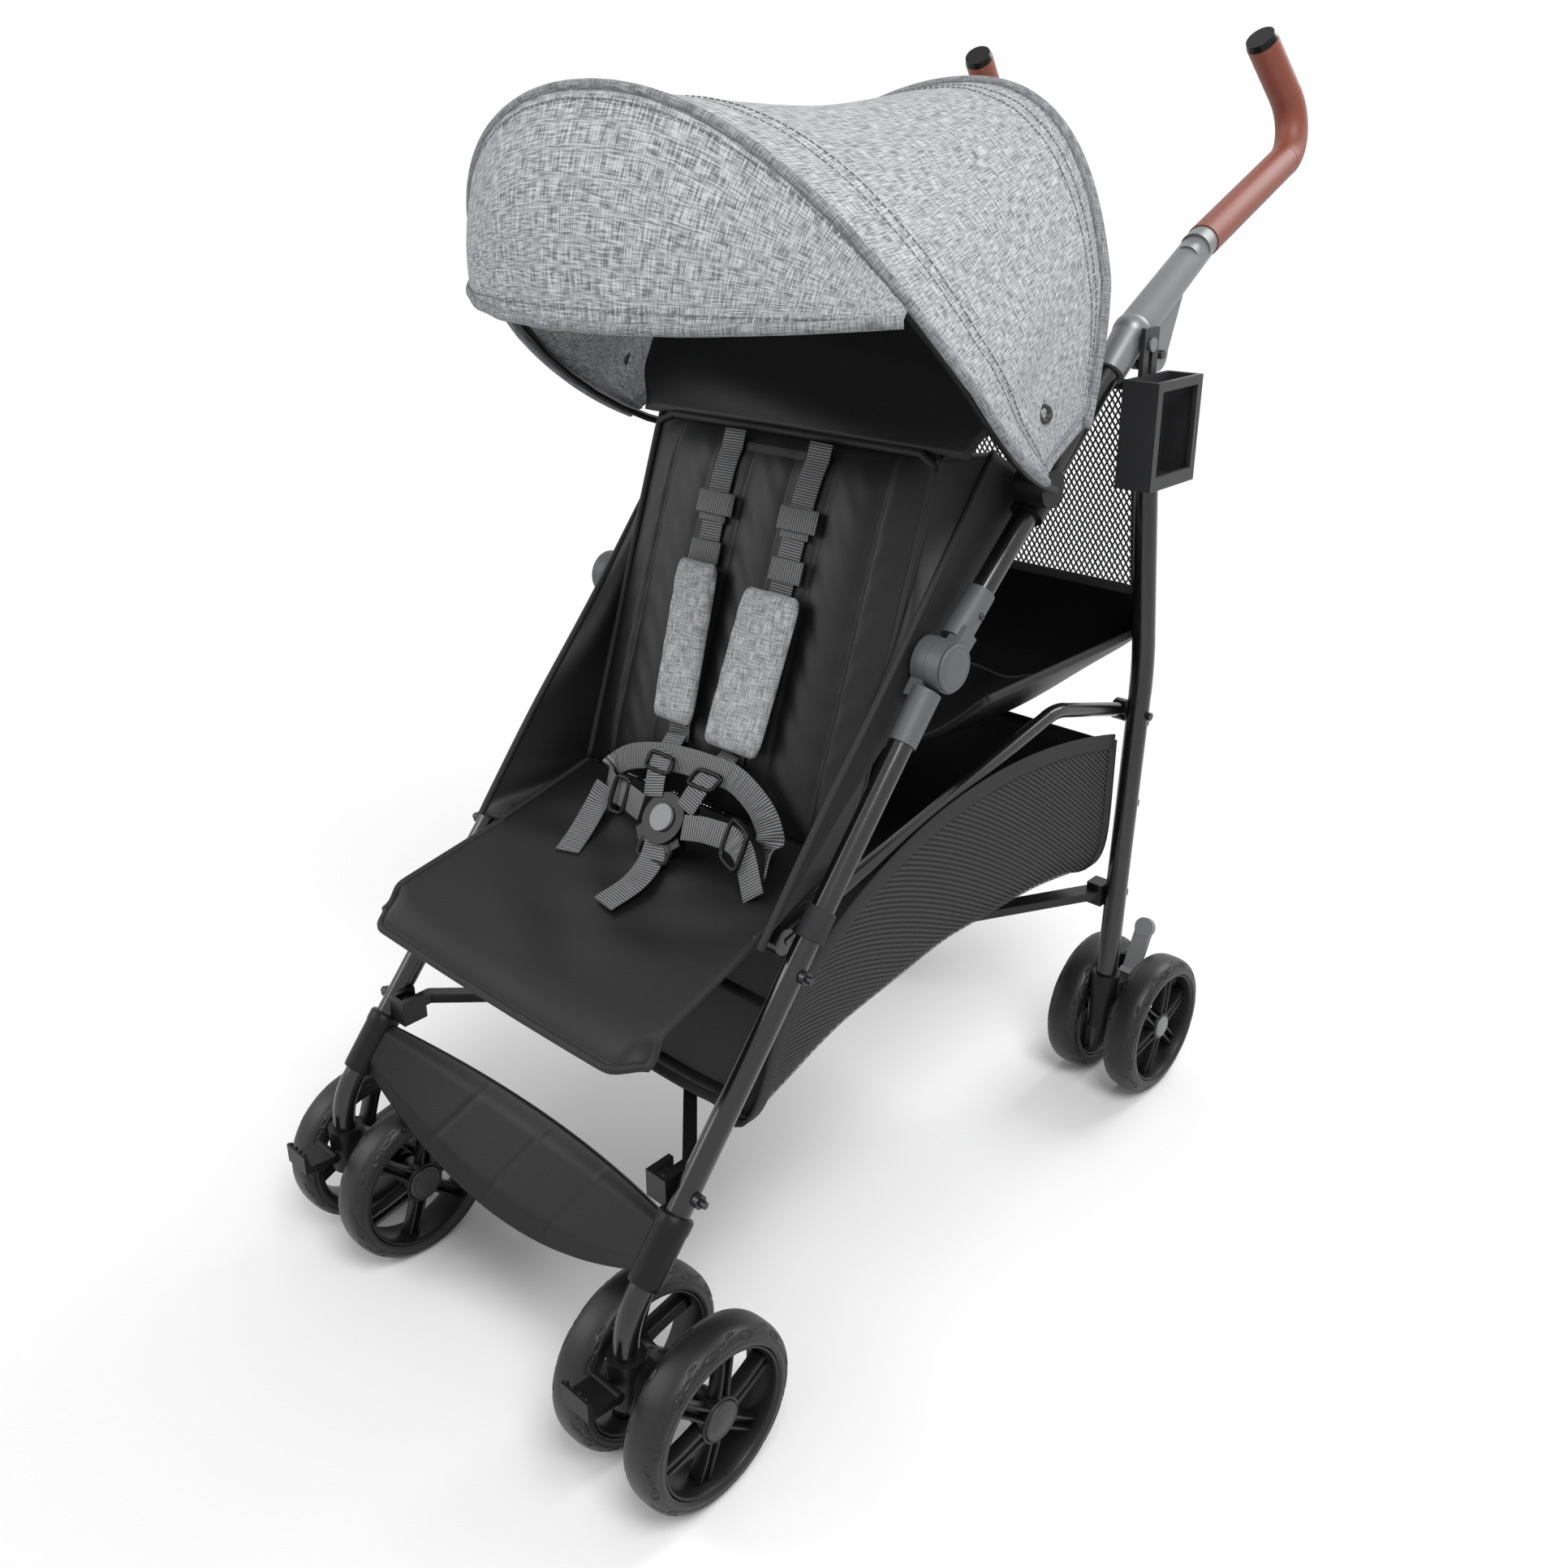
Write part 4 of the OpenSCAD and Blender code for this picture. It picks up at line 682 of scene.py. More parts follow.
def on_back(x, s, lift):
    """Point on the leaning back at lateral place x, share s up it, lift in front of it."""
    x, s, lift = np.broadcast_arrays(np.asarray(x, float), np.asarray(s, float), np.asarray(lift, float))
    p = BACK_FOOT + s[..., None] * BACK_RUN + lift[..., None] * BACK_NORMAL
    return np.stack([x, p[..., 0], p[..., 1]], -1)


def seat_share(x):
    """0..1 across the back pad."""
    return (x / SEAT_W + 1) / 2


def pad_lift(x, s):
    """Back pad: crown PAD_T, sewn into upright |sin| channels between two seams, flatter sides."""
    inside = smooth((SEAM_X - np.abs(x)) / SEAM_EASE)
    wave = np.sin(np.pi * (x / CHANNEL_HALF + 1) / 2 * CHANNELS)
    channel = 0.80 + 0.20 * np.abs(wave) ** 0.6
    side = 0.86 - 0.22 * bell(np.abs(x) - SEAM_X, SEAM_W)
    return PAD_T * full(seat_share(x), 6) * full(s, 8) * mix(side, channel, inside)


def make_back():
    """Back pad over a grid of x and s, with small pulls all over, a plain lining behind, piped edges and a
    welt between the straps."""
    x = np.linspace(-SEAT_W, SEAT_W, 161)
    xx, ss = grid(x, np.linspace(0, 1, 101))
    pull = np.sin(ss * 60 + 4 * np.sin(xx * 70)) * full(seat_share(xx), 4) * full(ss, 4)
    face = on_back(xx, ss, pad_lift(xx, ss) + SEAM_PULL * pull)
    obj = paint(solid_grid("seat_back_pad", face, on_back(xx, ss, -LINING_BEHIND)), SEAT)
    rise = np.linspace(0, BACK_PIPE_END, 40)
    edge = np.concatenate([
        on_back(-SEAT_W, rise, BACK_PIPE_LIFT),
        on_back(np.linspace(-SEAT_W, SEAT_W, 40)[2:-2], 1, BACK_PIPE_TOP_LIFT),
        on_back(SEAT_W, rise[::-1], BACK_PIPE_LIFT),
    ])
    at = np.linspace(-WELT_HALF, WELT_HALF, 21)
    welt = on_back(at, WELT_SHARE, pad_lift(at, WELT_SHARE) + WELT_LIFT)
    trim = [
        sweep("edge", edge, circle_ring(BACK_PIPE_R, 8)),
        sweep("welt", welt, band_ring(WELT_W, WELT_T), across=UP_BACK),
    ]
    return obj, paint(join("seat_back_piping", trim), PIPING)


def base_point(s, v):
    """Seat cloth at share s of -1..1 across and v from the front edge to the back."""
    p = bend_line(BASE_LINE, v)
    half = mix(BASE_FRONT_HALF, SEAT_W, np.minimum(1, 2 * v))
    y = p[..., 0] - BASE_FRONT_BOW * s * s * (1 - v)
    z = p[..., 1] + (BASE_FRONT_RISE * (1 - v) + BASE_SIDE_RISE * v * (1 - v)) * s * s
    return np.stack([s * half, y, z], -1)


def make_base():
    """Seat cloth, slack with a few long folds; its front edge is rolled down, round-cornered and piped."""
    ss, vv = grid(np.linspace(-1, 1, 121), np.linspace(0, 1, 81))
    p = base_point(ss, vv)
    slack = np.sin(vv * 19 + 2.4 * np.sin(ss * 3)) + 0.6 * np.sin(vv * 31 - 5 * ss) * vv
    roll = smooth((BASE_ROLL_SHARE - vv) / BASE_ROLL_SHARE)
    corner = smooth((np.abs(ss) - BASE_CORNER_SHARE) / (1 - BASE_CORNER_SHARE)) ** 2 * roll
    p[..., 1] += BASE_CORNER * corner
    p[..., 2] += BASE_SLACK * slack * (1 - ss * ss) * full(vv, 2) - BASE_ROLL_DROP * roll**2
    under = p.copy()
    under[..., 2] -= BASE_EDGE_T + BASE_FILL_T * full((ss + 1) / 2, 4) * full(vv, 4)
    obj = paint(solid_grid("seat_base_cloth", p, under), SEAT)
    rim = np.concatenate([p[0, ::-1][20:], p[:, 0][1:-1], p[-1][:61]]) - [0, 0, BASE_PIPE_DROP]
    pipe = paint(sweep("seat_base_piping", rim, circle_ring(BASE_PIPE_R, 8)), PIPING)
    return obj, pipe


def side_edge(points, count):
    """Line of count points through side points, just inside the tubes."""
    line = curve([(WING_X, *q) for q in points], 40)
    return points_at(line, np.arange(len(line)), np.linspace(0, len(line) - 1, count))


def make_wing(side):
    """Side wing: from the back pad's and the seat cloth's edges to a bound edge in front of the tube and hub,
    slack between them with folds down to the seat; its lining runs on behind the tube on its inner side."""
    v = np.linspace(0, 1, 101)
    u = np.linspace(0, 1, 31)
    back = on_back(SEAT_W + WING_GAP, 1 - np.minimum(v / WING_TURN, 1), 0)
    low = base_point(np.ones_like(v), 1 - 0.5 * np.clip((v - WING_TURN) / (1 - WING_TURN), 0, 1))
    inner = np.where((v < WING_TURN)[:, None], back, low)
    outer = side_edge(WING_FRONT, len(v))
    behind = side_edge(WING_BEHIND, len(v))
    p = ruled(inner, outer, u)
    across = np.sin(np.pi * u)[None]
    hang = across * np.sin(np.pi * v)[:, None]
    ripple = np.sin(v * 21)[:, None] * across + 0.7 * np.sin(v * 12 - 2)[:, None] * hang
    p[..., 0] -= WING_RIPPLE * ripple + WING_HANG * hang
    lining = ruled(outer, behind, u)
    lining[..., 0] += LINING_RIPPLE * np.sin(v * 17)[:, None] * u[None]
    if side < 0:
        p = p[:, ::-1] * MIRROR
        lining = lining[:, ::-1] * MIRROR
    obj = paint(sheet_mesh(f"seat_wing_{SIDES[side]}", p, WING_T), SEAT)
    trim = [sweep("wing_pipe", line, circle_ring(WING_PIPE_R, 8)) for line in (p[:, 0], p[:, -1])]
    trim.append(sheet_mesh("wing_lining", lining[:LINING_ROWS], LINING_T))
    return obj, join(f"wing_piping_{SIDES[side]}", trim)


def make_head():
    """Cloth behind the head: sheet from the back pad up into the canopy, spreading towards its sides."""
    uu, vv = grid(np.linspace(0, 1, 41), np.linspace(0, 1, 21))
    y = mix(BACK_TOP[0] + HEAD_GAP, HEAD_TOP[0], vv)
    y += (HEAD_BOW * vv + HEAD_RIPPLE * np.sin(vv * 14 + uu * 5)) * full(uu, 2)
    z = mix(BACK_TOP[1] + HEAD_GAP, HEAD_TOP[1], vv)
    x = (2 * uu - 1) * mix(HEAD_LOW_HALF, HEAD_HALF, smooth(vv / HEAD_SPREAD_SHARE))
    return paint(sheet_mesh("head_panel_cloth", np.stack([x, y, z], -1), HEAD_T), SEAT)


back, back_pipe = make_back()
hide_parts("seat_back")
for piece in (back, back_pipe):
    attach(piece, "upper_frame")
base, base_pipe = make_base()
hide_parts("seat_base")
for piece in (base, base_pipe):
    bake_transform(piece)
for side in (-1, 1):
    wing, pipe = make_wing(side)
    paint(pipe, PIPING)
    for piece in (wing, pipe):
        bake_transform(piece)
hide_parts("seat_wings")
head = make_head()
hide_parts("head_panel")
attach(head, "upper_frame")


# Harness; a strap's points are (x, share up the back) or (x, y, z)
STRAP_W = 0.025
STRAP_T = 0.0018
STRAP_LIFT = 0.0012
STRAP_LEAST_LIFT = 0.012
BELT_W = 0.024
BELT_T = 0.0019
CROTCH_W = 0.026
FRAME_POWER = 0.4
SHOULDER_LINE = [(0.050, 0.985), (0.048, 0.75), (0.044, 0.45), (0.034, 0.15)]
KEEPER_X = 0.0485
KEEPER_LIFTS = np.array([0.0212, 0.0224, 0.0212])
KEEPER_T = 0.0022
KEEPERS = ((0.785, 0.042, 0.020), (0.745, 0.030, 0.006), (0.655, 0.036, 0.020))
DROP_TOP = (0.034, 0.17, 0.021)
DROP_END = (0.020, -0.150, 0.440)
DROP_W = 0.022
DROP_SLACK = np.array([0, -0.008, 0])
CLIP_SHARE = 0.42
CLIP_LIFT = np.array([0, -0.009, 0])
CLIP_SIZE = (0.030, 0.016, 0.0020)
BELT_LOOP = [
    (-0.026, -0.158, 0.430), (-0.053, -0.152, 0.431), (-0.086, -0.142, 0.429), (-0.099, -0.128, 0.437),
    (-0.080, -0.124, 0.452), (-0.044, -0.124, 0.464), (-0.006, -0.124, 0.470), (0.032, -0.124, 0.472),
    (0.058, -0.124, 0.470), (0.085, -0.126, 0.456), (0.099, -0.128, 0.438), (0.103, -0.133, 0.422),
    (0.112, -0.150, 0.404),
]
LEFT_TAIL = [
    (-0.090, -0.143, 0.427), (-0.094, -0.152, 0.412), (-0.088, -0.176, 0.396), (-0.079, -0.202, 0.386),
]
RIGHT_BELT = [(0.028, -0.160, 0.430), (0.056, -0.156, 0.434), (0.090, -0.154, 0.430), (0.122, -0.172, 0.402)]
CROTCH_LINE = [(0, -0.163, 0.414), (0.004, -0.176, 0.397), (0.008, -0.200, 0.386), (0.004, -0.232, 0.377)]
ADJUSTERS = (
    ((0.086, -0.157, 0.432), (0.9, -0.25, -0.2), (0, 0.5, 0.86), 0.026, 0.034, 0.0024),
    ((-0.060, -0.154, 0.431), (1, 0, 0), (0, 0.4, 0.9), 0.018, 0.032, 0.0022),
    ((0.002, -0.170, 0.403), (1, 0, 0), (0, -0.6, -0.8), 0.036, 0.018, 0.0024),
)


def shoulder_strap(sx):
    """Webbing on the back pad along its (x, share) places."""
    x, s, _ = curve([(sx * x, s, 0) for x, s in SHOULDER_LINE], 14).T
    p = on_back(x, s, pad_lift(x, s).clip(STRAP_LEAST_LIFT) + STRAP_LIFT + STRAP_T / 2)
    return sweep("shoulder", p, band_ring(STRAP_W, STRAP_T), across=(1, 0, 0))


def strap_keeper(sx, share, wide, high):
    """Flat keeper over a shoulder strap, a little arched."""
    places = sx * KEEPER_X + wide * np.array([-0.5, 0, 0.5])
    line = curve(on_back(places, share, KEEPER_LIFTS), 5)
    return sweep("keeper", line, band_ring(high, KEEPER_T), across=UP_BACK)


def frame_ring(name, centre, across, run, wide, high, radius):
    """Rounded rectangular frame of round wire, wide along across and high along run: a superellipse."""
    a = np.linspace(0, 2 * math.pi, 33)[:-1]
    x = wide / 2 * signed_power(np.cos(a), FRAME_POWER)
    y = high / 2 * signed_power(np.sin(a), FRAME_POWER)
    path = np.asarray(centre) + x[:, None] * unit(across) + y[:, None] * unit(run)
    return sweep(name, path, circle_ring(radius, 8), closed=True)


def band(name, points, width, across, steps=12):
    """Webbing along a smooth line through points."""
    return sweep(name, curve(points, steps), band_ring(width, BELT_T), across=across)


def make_harness():
    """Shoulder straps from their slots with keepers, the loose waist belt that loops round on the left, its
    tails and the strap between the legs; the second mesh holds the clips and the strap adjusters."""
    parts, hard = [], []
    for sx in SIDES:
        parts.append(shoulder_strap(sx))
        parts += [strap_keeper(sx, *keeper) for keeper in KEEPERS]
        top = on_back(sx * DROP_TOP[0], *DROP_TOP[1:])
        near = np.array([sx * DROP_END[0], *DROP_END[1:]])
        parts.append(band("drop", [top, mix(top, near, 0.5) + DROP_SLACK, near], DROP_W, (1, 0, 0)))
        clip = mix(top, near, CLIP_SHARE) + CLIP_LIFT
        hard.append(frame_ring("clip", clip, (1, 0, 0), near - top, *CLIP_SIZE))
    parts.append(band("belt", BELT_LOOP, BELT_W, (0, 0.34, 0.94), 8))
    parts.append(band("tail_left", LEFT_TAIL, BELT_W, (1, 0.3, 0)))
    parts.append(band("belt_right", RIGHT_BELT, DROP_W, (0, 0.5, 0.86)))
    parts.append(band("crotch", CROTCH_LINE, CROTCH_W, (1, 0.1, 0)))
    hard += [frame_ring("adjuster", *adjuster) for adjuster in ADJUSTERS]
    return join("harness_webbing", parts), join("harness_frames", hard)


harness, harness_frames = make_harness()
paint(harness, WEB)
paint(harness_frames, GLOSS_BLACK)
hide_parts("harness")
for piece in (harness, harness_frames):
    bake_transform(piece)

SLEEVE_LIFT = PAD_T + 0.0115
SLEEVE_CROWN = 0.0085
SLEEVE_BACK = 0.007
SLEEVE_EDGE = 0.0012


def make_pad(side, half_w, length, s0, x0, x1):
    """Shoulder pad from share s0 up the back, its middle from x0 to x1: wrapped sleeve, crown the root of
    (1 - |2u - 1|^3)(1 - |2v - 1|^10) with light wrinkles, narrower at its ends; the right one has a seam."""
    uu, vv = grid(np.linspace(0, 1, 41), np.linspace(0, 1, 61))
    s = s0 + vv * length / np.linalg.norm(BACK_RUN)
    width = half_w * (0.80 + 0.20 * np.clip(full(vv, 12), 0, 1) ** 0.5)
    x = mix(x0, x1, vv) + (2 * uu - 1) * width
    fill = np.sqrt(np.clip(full(uu, 3) * full(vv, 10), 0, 1))
    wrinkle = 1 + 0.07 * np.sin(vv * 30 + uu * 6) + 0.05 * np.sin(vv * 47 - uu * 9)
    if side == "right":
        wrinkle -= 0.35 * bell(uu - 0.86, 0.022)
    face = on_back(x, s, SLEEVE_LIFT + SLEEVE_CROWN * fill * wrinkle + SLEEVE_EDGE)
    back = on_back(x, s, SLEEVE_LIFT - SLEEVE_BACK * fill - SLEEVE_EDGE)
    return paint(solid_grid(f"shoulder_pad_{side}", face, back), PAD_CLOTH)


pads = [
    make_pad("left", half_w=0.0225, length=0.143, s0=0.200, x0=-0.036, x1=-0.045),
    make_pad("right", half_w=0.0310, length=0.140, s0=0.178, x0=0.038, x1=0.047),
]
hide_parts("shoulder_pads")
for pad in pads:
    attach(pad, "upper_frame")


# Rear seat, net and basket
SLING_HALF = REAR_X - REAR_TUBE_R - 0.001
SLING_RISE_SHARE = 0.3
SLING_FRONT_Y = 0.066
SLING_REAR_Y = 0.334
SLING_SIDE_Z = 0.520
SLING_DIP = 0.104
SLING_RIPPLE = 0.002
SLING_TOP_Y = 0.3065
SLING_TOP_Z = 0.5645
SLING_BACK_BOW = 0.010
SLING_T = 0.003
SLING_PIPE_R = 0.0032
NET_HALF = REAR_X - REAR_TUBE_R - 0.0004
NET_Z = np.array([0.565, 0.764])
NET_BOW = 0.006
NET_T = 0.0012
NET_BIND = (0.010, 0.0034)
NET_LEAN = (0, 0.15, 0.99)
BASKET_TOP = np.array([[-0.196, 0.334], [-0.010, 0.491], [0.286, 0.413]])
BASKET_LOW = np.array([[-0.236, 0.2495], [0.022, 0.294], [0.286, 0.251]])
BASKET_W = 0.1796
BASKET_POWER = 0.3
BASKET_T = 0.0014
BASKET_WALL_T = 0.0016
BASKET_FRONT_DROP = 0.024
BASKET_DROP_X = 0.138
BASKET_DROP_EASE = 0.030
BASKET_RIPPLE = 0.0015
BASKET_FLOOR_HALF = 0.168
BASKET_FLOOR_LIFT = 0.0026
WALL_BIND = (0.014, 0.003)
TOP_BIND = (0.016, 0.0032)


def make_sling():
    """Rear seat sling: parabola across, deepest in the middle, with soft folds running front to back; behind,
    it rises to the net's lower edge."""
    ss, vv = grid(np.linspace(-1, 1, 81), np.linspace(0, 1 + SLING_RISE_SHARE, 66))
    mid = 1 - ss * ss
    seat = np.minimum(vv, 1)
    up = smooth(np.maximum(vv - 1, 0) / SLING_RISE_SHARE)
    dip = SLING_DIP * (0.86 + 0.14 * full(seat, 2)) - SLING_RIPPLE * np.sin(ss * 15 + vv * 3)
    y = mix(mix(SLING_FRONT_Y, SLING_REAR_Y, seat), SLING_TOP_Y, up)
    y += SLING_BACK_BOW * mid * np.sin(np.pi * up)
    z = mix(SLING_SIDE_Z - dip * mid, SLING_TOP_Z, up)
    p = np.stack([ss * SLING_HALF, y, z], -1)
    obj = paint(sheet_mesh("rear_seat_sling", p, SLING_T), SEAT)
    pipe = [sweep("edge", line, circle_ring(SLING_PIPE_R, 8)) for line in (p[:, 0], p[0], p[-1])]
    return obj, paint(join("rear_seat_piping", pipe), PIPING)


sling, sling_pipe = make_sling()
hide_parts("rear_seat")
for piece in (sling, sling_pipe):
    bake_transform(piece)


def make_net():
    """Net back of the rear seat in the line of the rear legs, with a bound edge."""
    low_y, high_y = mix(KNEE[0], PIVOT[0], (NET_Z - KNEE[1]) / (PIVOT[1] - KNEE[1]))
    uu, vv = grid(np.linspace(-1, 1, 41), np.linspace(0, 1, 25))
    y = mix(low_y, high_y, vv) + NET_BOW * (1 - uu * uu) * full(vv, 2)
    p = np.stack([uu * NET_HALF, y, mix(*NET_Z, vv)], -1)
    net = paint(sheet_mesh("rear_net_cloth", p, NET_T), NET)
    bind = sweep("rear_net_binding", rim_of(p), band_ring(*NET_BIND), across=NET_LEAN, closed=True)
    return net, paint(bind, BINDING)


net, net_bind = make_net()
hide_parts("rear_net")
for piece in (net, net_bind):
    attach(piece, "rear_frame")


def basket_grid(a, v):
    """Trough: superellipse section, exponent 0.3, between a top and a low side line."""
    drop = (np.abs(np.sin(a)) ** BASKET_POWER)[..., None]
    side = mix(bend_line(BASKET_TOP, v), bend_line(BASKET_LOW, v), drop)
    return np.stack([BASKET_W * signed_power(np.cos(a), BASKET_POWER), side[..., 0], side[..., 1]], -1)


def make_basket():
    """Net trough with a plain floor, front and back wall and bound upper edges."""
    turn = np.linspace(math.pi, 2 * math.pi, 4001)
    a = evenly(turn, basket_grid(turn, np.full(turn.shape, 0.5)), 81)
    aa, vv = grid(a, np.linspace(0, 1, 51))
    p = basket_grid(aa, vv)
    drop = smooth((np.abs(p[..., 0]) - BASKET_DROP_X) / BASKET_DROP_EASE) * np.abs(np.sin(aa)) ** BASKET_POWER
    p[..., 2] -= BASKET_FRONT_DROP * drop * (1 - vv) ** 3
    p[..., 0] += BASKET_RIPPLE * np.sin(vv * 21) * np.sign(p[..., 0]) * full((aa - math.pi) / math.pi, 2)
    trough = paint(sheet_mesh("basket_net", p[::-1], BASKET_T), BASKET_NET)
    walls, binds = [], []
    half = len(a) // 2
    for way, row in ((1, p[:, 0]), (-1, p[:, -1])):
        wall = ruled(row[: half + 1], row[half:][::-1], np.linspace(0, 1, 15))[: half - 2]
        wall[..., 1] += way * BASKET_WALL_T
        walls.append(sheet_mesh("wall", wall[:, ::-way], BASKET_WALL_T))
        binds.append(sweep("wall_bind", row, band_ring(*WALL_BIND), across=(0, 1, 0)))
    flat = np.abs(p[:, 25, 0]) < BASKET_FLOOR_HALF
    walls.append(sheet_mesh("floor", p[flat][::-1] + [0, 0, BASKET_FLOOR_LIFT], BASKET_WALL_T))
    for row in (p[0], p[-1]):
        binds.append(sweep("top_bind", row, band_ring(*TOP_BIND), across=(0, 0, 1)))
    wall = paint(join("basket_walls", walls), SEAT)
    return trough, wall, paint(join("basket_binding", binds), BINDING)


basket, basket_wall, basket_bind = make_basket()
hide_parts("basket")
for piece in (basket, basket_wall, basket_bind):
    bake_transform(piece)


# Wheels; a profile's points are (radius, distance along the axle)
WHEEL_R = 0.076
RIM_R = 0.061
TYRE_GAP = 0.0002
TYRE_HALF = 0.018
GROOVES = 12
GROOVE_DEPTH = 0.0013
SPOKES = 6
SPOKE_START = 0.0135
SPOKE_END = 0.0572
SPOKE_OUT = 0.0062
SPOKE_DISH = 0.0035
RIBS = ((-0.0048, 0.0026, 0.0135, 0), (0.0048, 0.0026, 0.0135, 0), (0, 0.0085, 0.0085, 0.0032))
BARREL_HALF = [
    (0.0606, 0.0150), (0.0603, 0.0166), (0.0594, 0.0172), (0.0585, 0.0168), (0.0578, 0.0150),
    (0.0568, 0.0090),
]
BARREL_MID = (0.0564, 0)
FRONT_HUB_R = 0.0172
REAR_HUB_R = 0.0130
HUB_INSIDE = [(0.0045, -0.0138), (0.0120, -0.0138), (0.0135, -0.0125), (0.0150, 0)]
HUB_LIP = [(0.0018, 0.0112), (0.0018, 0.0130), (0.0006, 0.0138), (-0.0008, 0.0134), (-0.0010, 0.0100)]
HUB_FLOOR = (0.0045, 0.0100)
CAP_INSET = 0.0012
CAP = [
    (0, 0, 0.0110), (1, 0, 0.0110), (1, 0, 0.0140), (1, 0.0008, 0.0150), (0.80, 0, 0.0157),
    (0.74, 0, 0.0152), (0.68, 0, 0.0156), (0.4, 0, 0.0163), (0, 0, 0.0166),
]


def tyre_mesh(name, centre, way):
    """Foam tyre: section x = W |sin p|^0.75, r = rim + T |cos p|^0.6, with twelve S-shaped shoulder grooves
    a side, leaf outlines between them and a step where the side wall starts, all cut along the normal."""
    turns = 384
    p = np.linspace(-math.pi / 2, math.pi / 2, 57)
    x = TYRE_HALF * signed_power(np.sin(p), 0.75)
    r = RIM_R + TYRE_GAP + (WHEEL_R - RIM_R - TYRE_GAP) * np.abs(np.cos(p)) ** 0.6
    tt, pp = grid(np.arange(turns) * 2 * math.pi / turns, p)
    local = (tt * GROOVES / (2 * math.pi) + np.where(pp > 0, 0.5, 0)) % 1
    shoulder = np.degrees(np.abs(pp))
    line = 34 + 20 * smooth((local - 0.24) / 0.16)
    groove = bell(shoulder - line, 3.2) * smooth((local - 0.06) / 0.05) * smooth((0.56 - local) / 0.05)
    leaf = np.hypot((local - 0.80) / 0.17, (shoulder - 60) / 11)
    groove += bell(leaf - 1, 0.16) + 0.6 * bell((local * 6) % 1 - 0.5, 0.2) * (leaf < 0.72)
    step = 0.6 * bell(shoulder - 79, 2.2)
    depth = GROOVE_DEPTH * np.minimum(groove + step, 1.2)
    dx, dr = np.gradient(x), np.gradient(r)
    size = np.hypot(dx, dr)
    rr = r - depth * dx / size
    points = np.stack([way * (x + depth * dr / size), rr * np.cos(tt), rr * np.sin(tt)], -1) + centre
    at = np.arange(tt.size).reshape(tt.shape)
    ahead = np.roll(at, -1, 0)
    faces = np.stack([at, ahead, np.roll(ahead, -1, 1), np.roll(at, -1, 1)], -1).reshape(-1, 4)
    uv = np.stack([tt * WHEEL_R, pp * TYRE_HALF], -1).reshape(-1, 2)
    return add_mesh(name, points.reshape(-1, 3), faces[:, ::-way].tolist(), uv)


def spoke_pair(centre, way, turn):
    """Two ribs with a lower web between them, from the hub to the barrel, dished towards the rim."""
    r = np.linspace(SPOKE_START, SPOKE_END, 14)
    share = np.linspace(0, 1, len(r))
    out = np.array([0, math.cos(turn), math.sin(turn)])
    side = np.array([0, -math.sin(turn), math.cos(turn)])
    parts = []
    for off, wide, deep, sink in RIBS:
        bow = off * (1 - 0.12 * np.sin(np.pi * share))
        path = centre + r[:, None] * out + bow[:, None] * side
        path[:, 0] += way * (SPOKE_OUT - SPOKE_DISH * share**1.6 - sink)
        parts.append(sweep("rib", path, band_ring(deep, wide, 4), across=(1, 0, 0)))
    return parts


def rim_mesh(centre, way, hub_r):
    """Rim: barrel with rolled lips, double-ribbed spokes and a hub, whose lip counts from the hub's radius; its
    cap, in shares of the cap's face less an inset, is a second mesh."""
    axis = (way, 0, 0)
    inner_lip = [(r, -x) for r, x in BARREL_HALF]
    barrel = [inner_lip[0], *BARREL_HALF, BARREL_MID, *inner_lip[::-1]]
    parts = [lathe("barrel", barrel, centre, axis, 96)]
    for i in range(SPOKES):
        parts += spoke_pair(centre, way, 2 * math.pi * (i + 0.25) / SPOKES)
    lip = [(hub_r + off, x) for off, x in HUB_LIP]
    parts.append(lathe("hub", [*HUB_INSIDE, *lip, HUB_FLOOR], centre, axis, 64))
    face = hub_r - CAP_INSET
    cap = [(face * share - off, x) for share, off, x in CAP]
    return join("rim", parts), lathe("rim_cap", cap, centre, axis, 64)


def make_wheels(end, side):
    """Both wheels of one corner: tyres, rims and hub caps, riding together."""
    low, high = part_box(f"{end}_tyres_{side}")
    mid = (np.array(low) + np.array(high)) / 2
    half_pair = (high[0] - low[0]) / 2 - TYRE_HALF
    hub_r, cap_mat = (FRONT_HUB_R, DARK_GREY) if end == "front" else (REAR_HUB_R, GREY)
    tyres, rims, caps = [], [], []
    for way in (-1, 1):
        centre = mid + [way * half_pair, 0, 0]
        tyres.append(tyre_mesh("tyre", centre, way))
        rim, cap = rim_mesh(centre, way, hub_r)
        rims.append(rim)
        caps.append(cap)
    body = f"{end}_wheels_{side}"
    tyre = paint(join(f"{end}_tyres_{side}_tread", tyres), TYRE)
    rim = paint(join(f"{end}_rims_{side}_spoked", rims), RIM)
    cap = paint(join(f"{end}_hub_caps_{side}", caps), cap_mat)
    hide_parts(f"{end}_tyres_{side}")
    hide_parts(f"{end}_rims_{side}")
    for piece in (tyre, rim, cap):
        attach(piece, body)


for end in ("front", "rear"):
    for side in ("left", "right"):
        make_wheels(end, side)


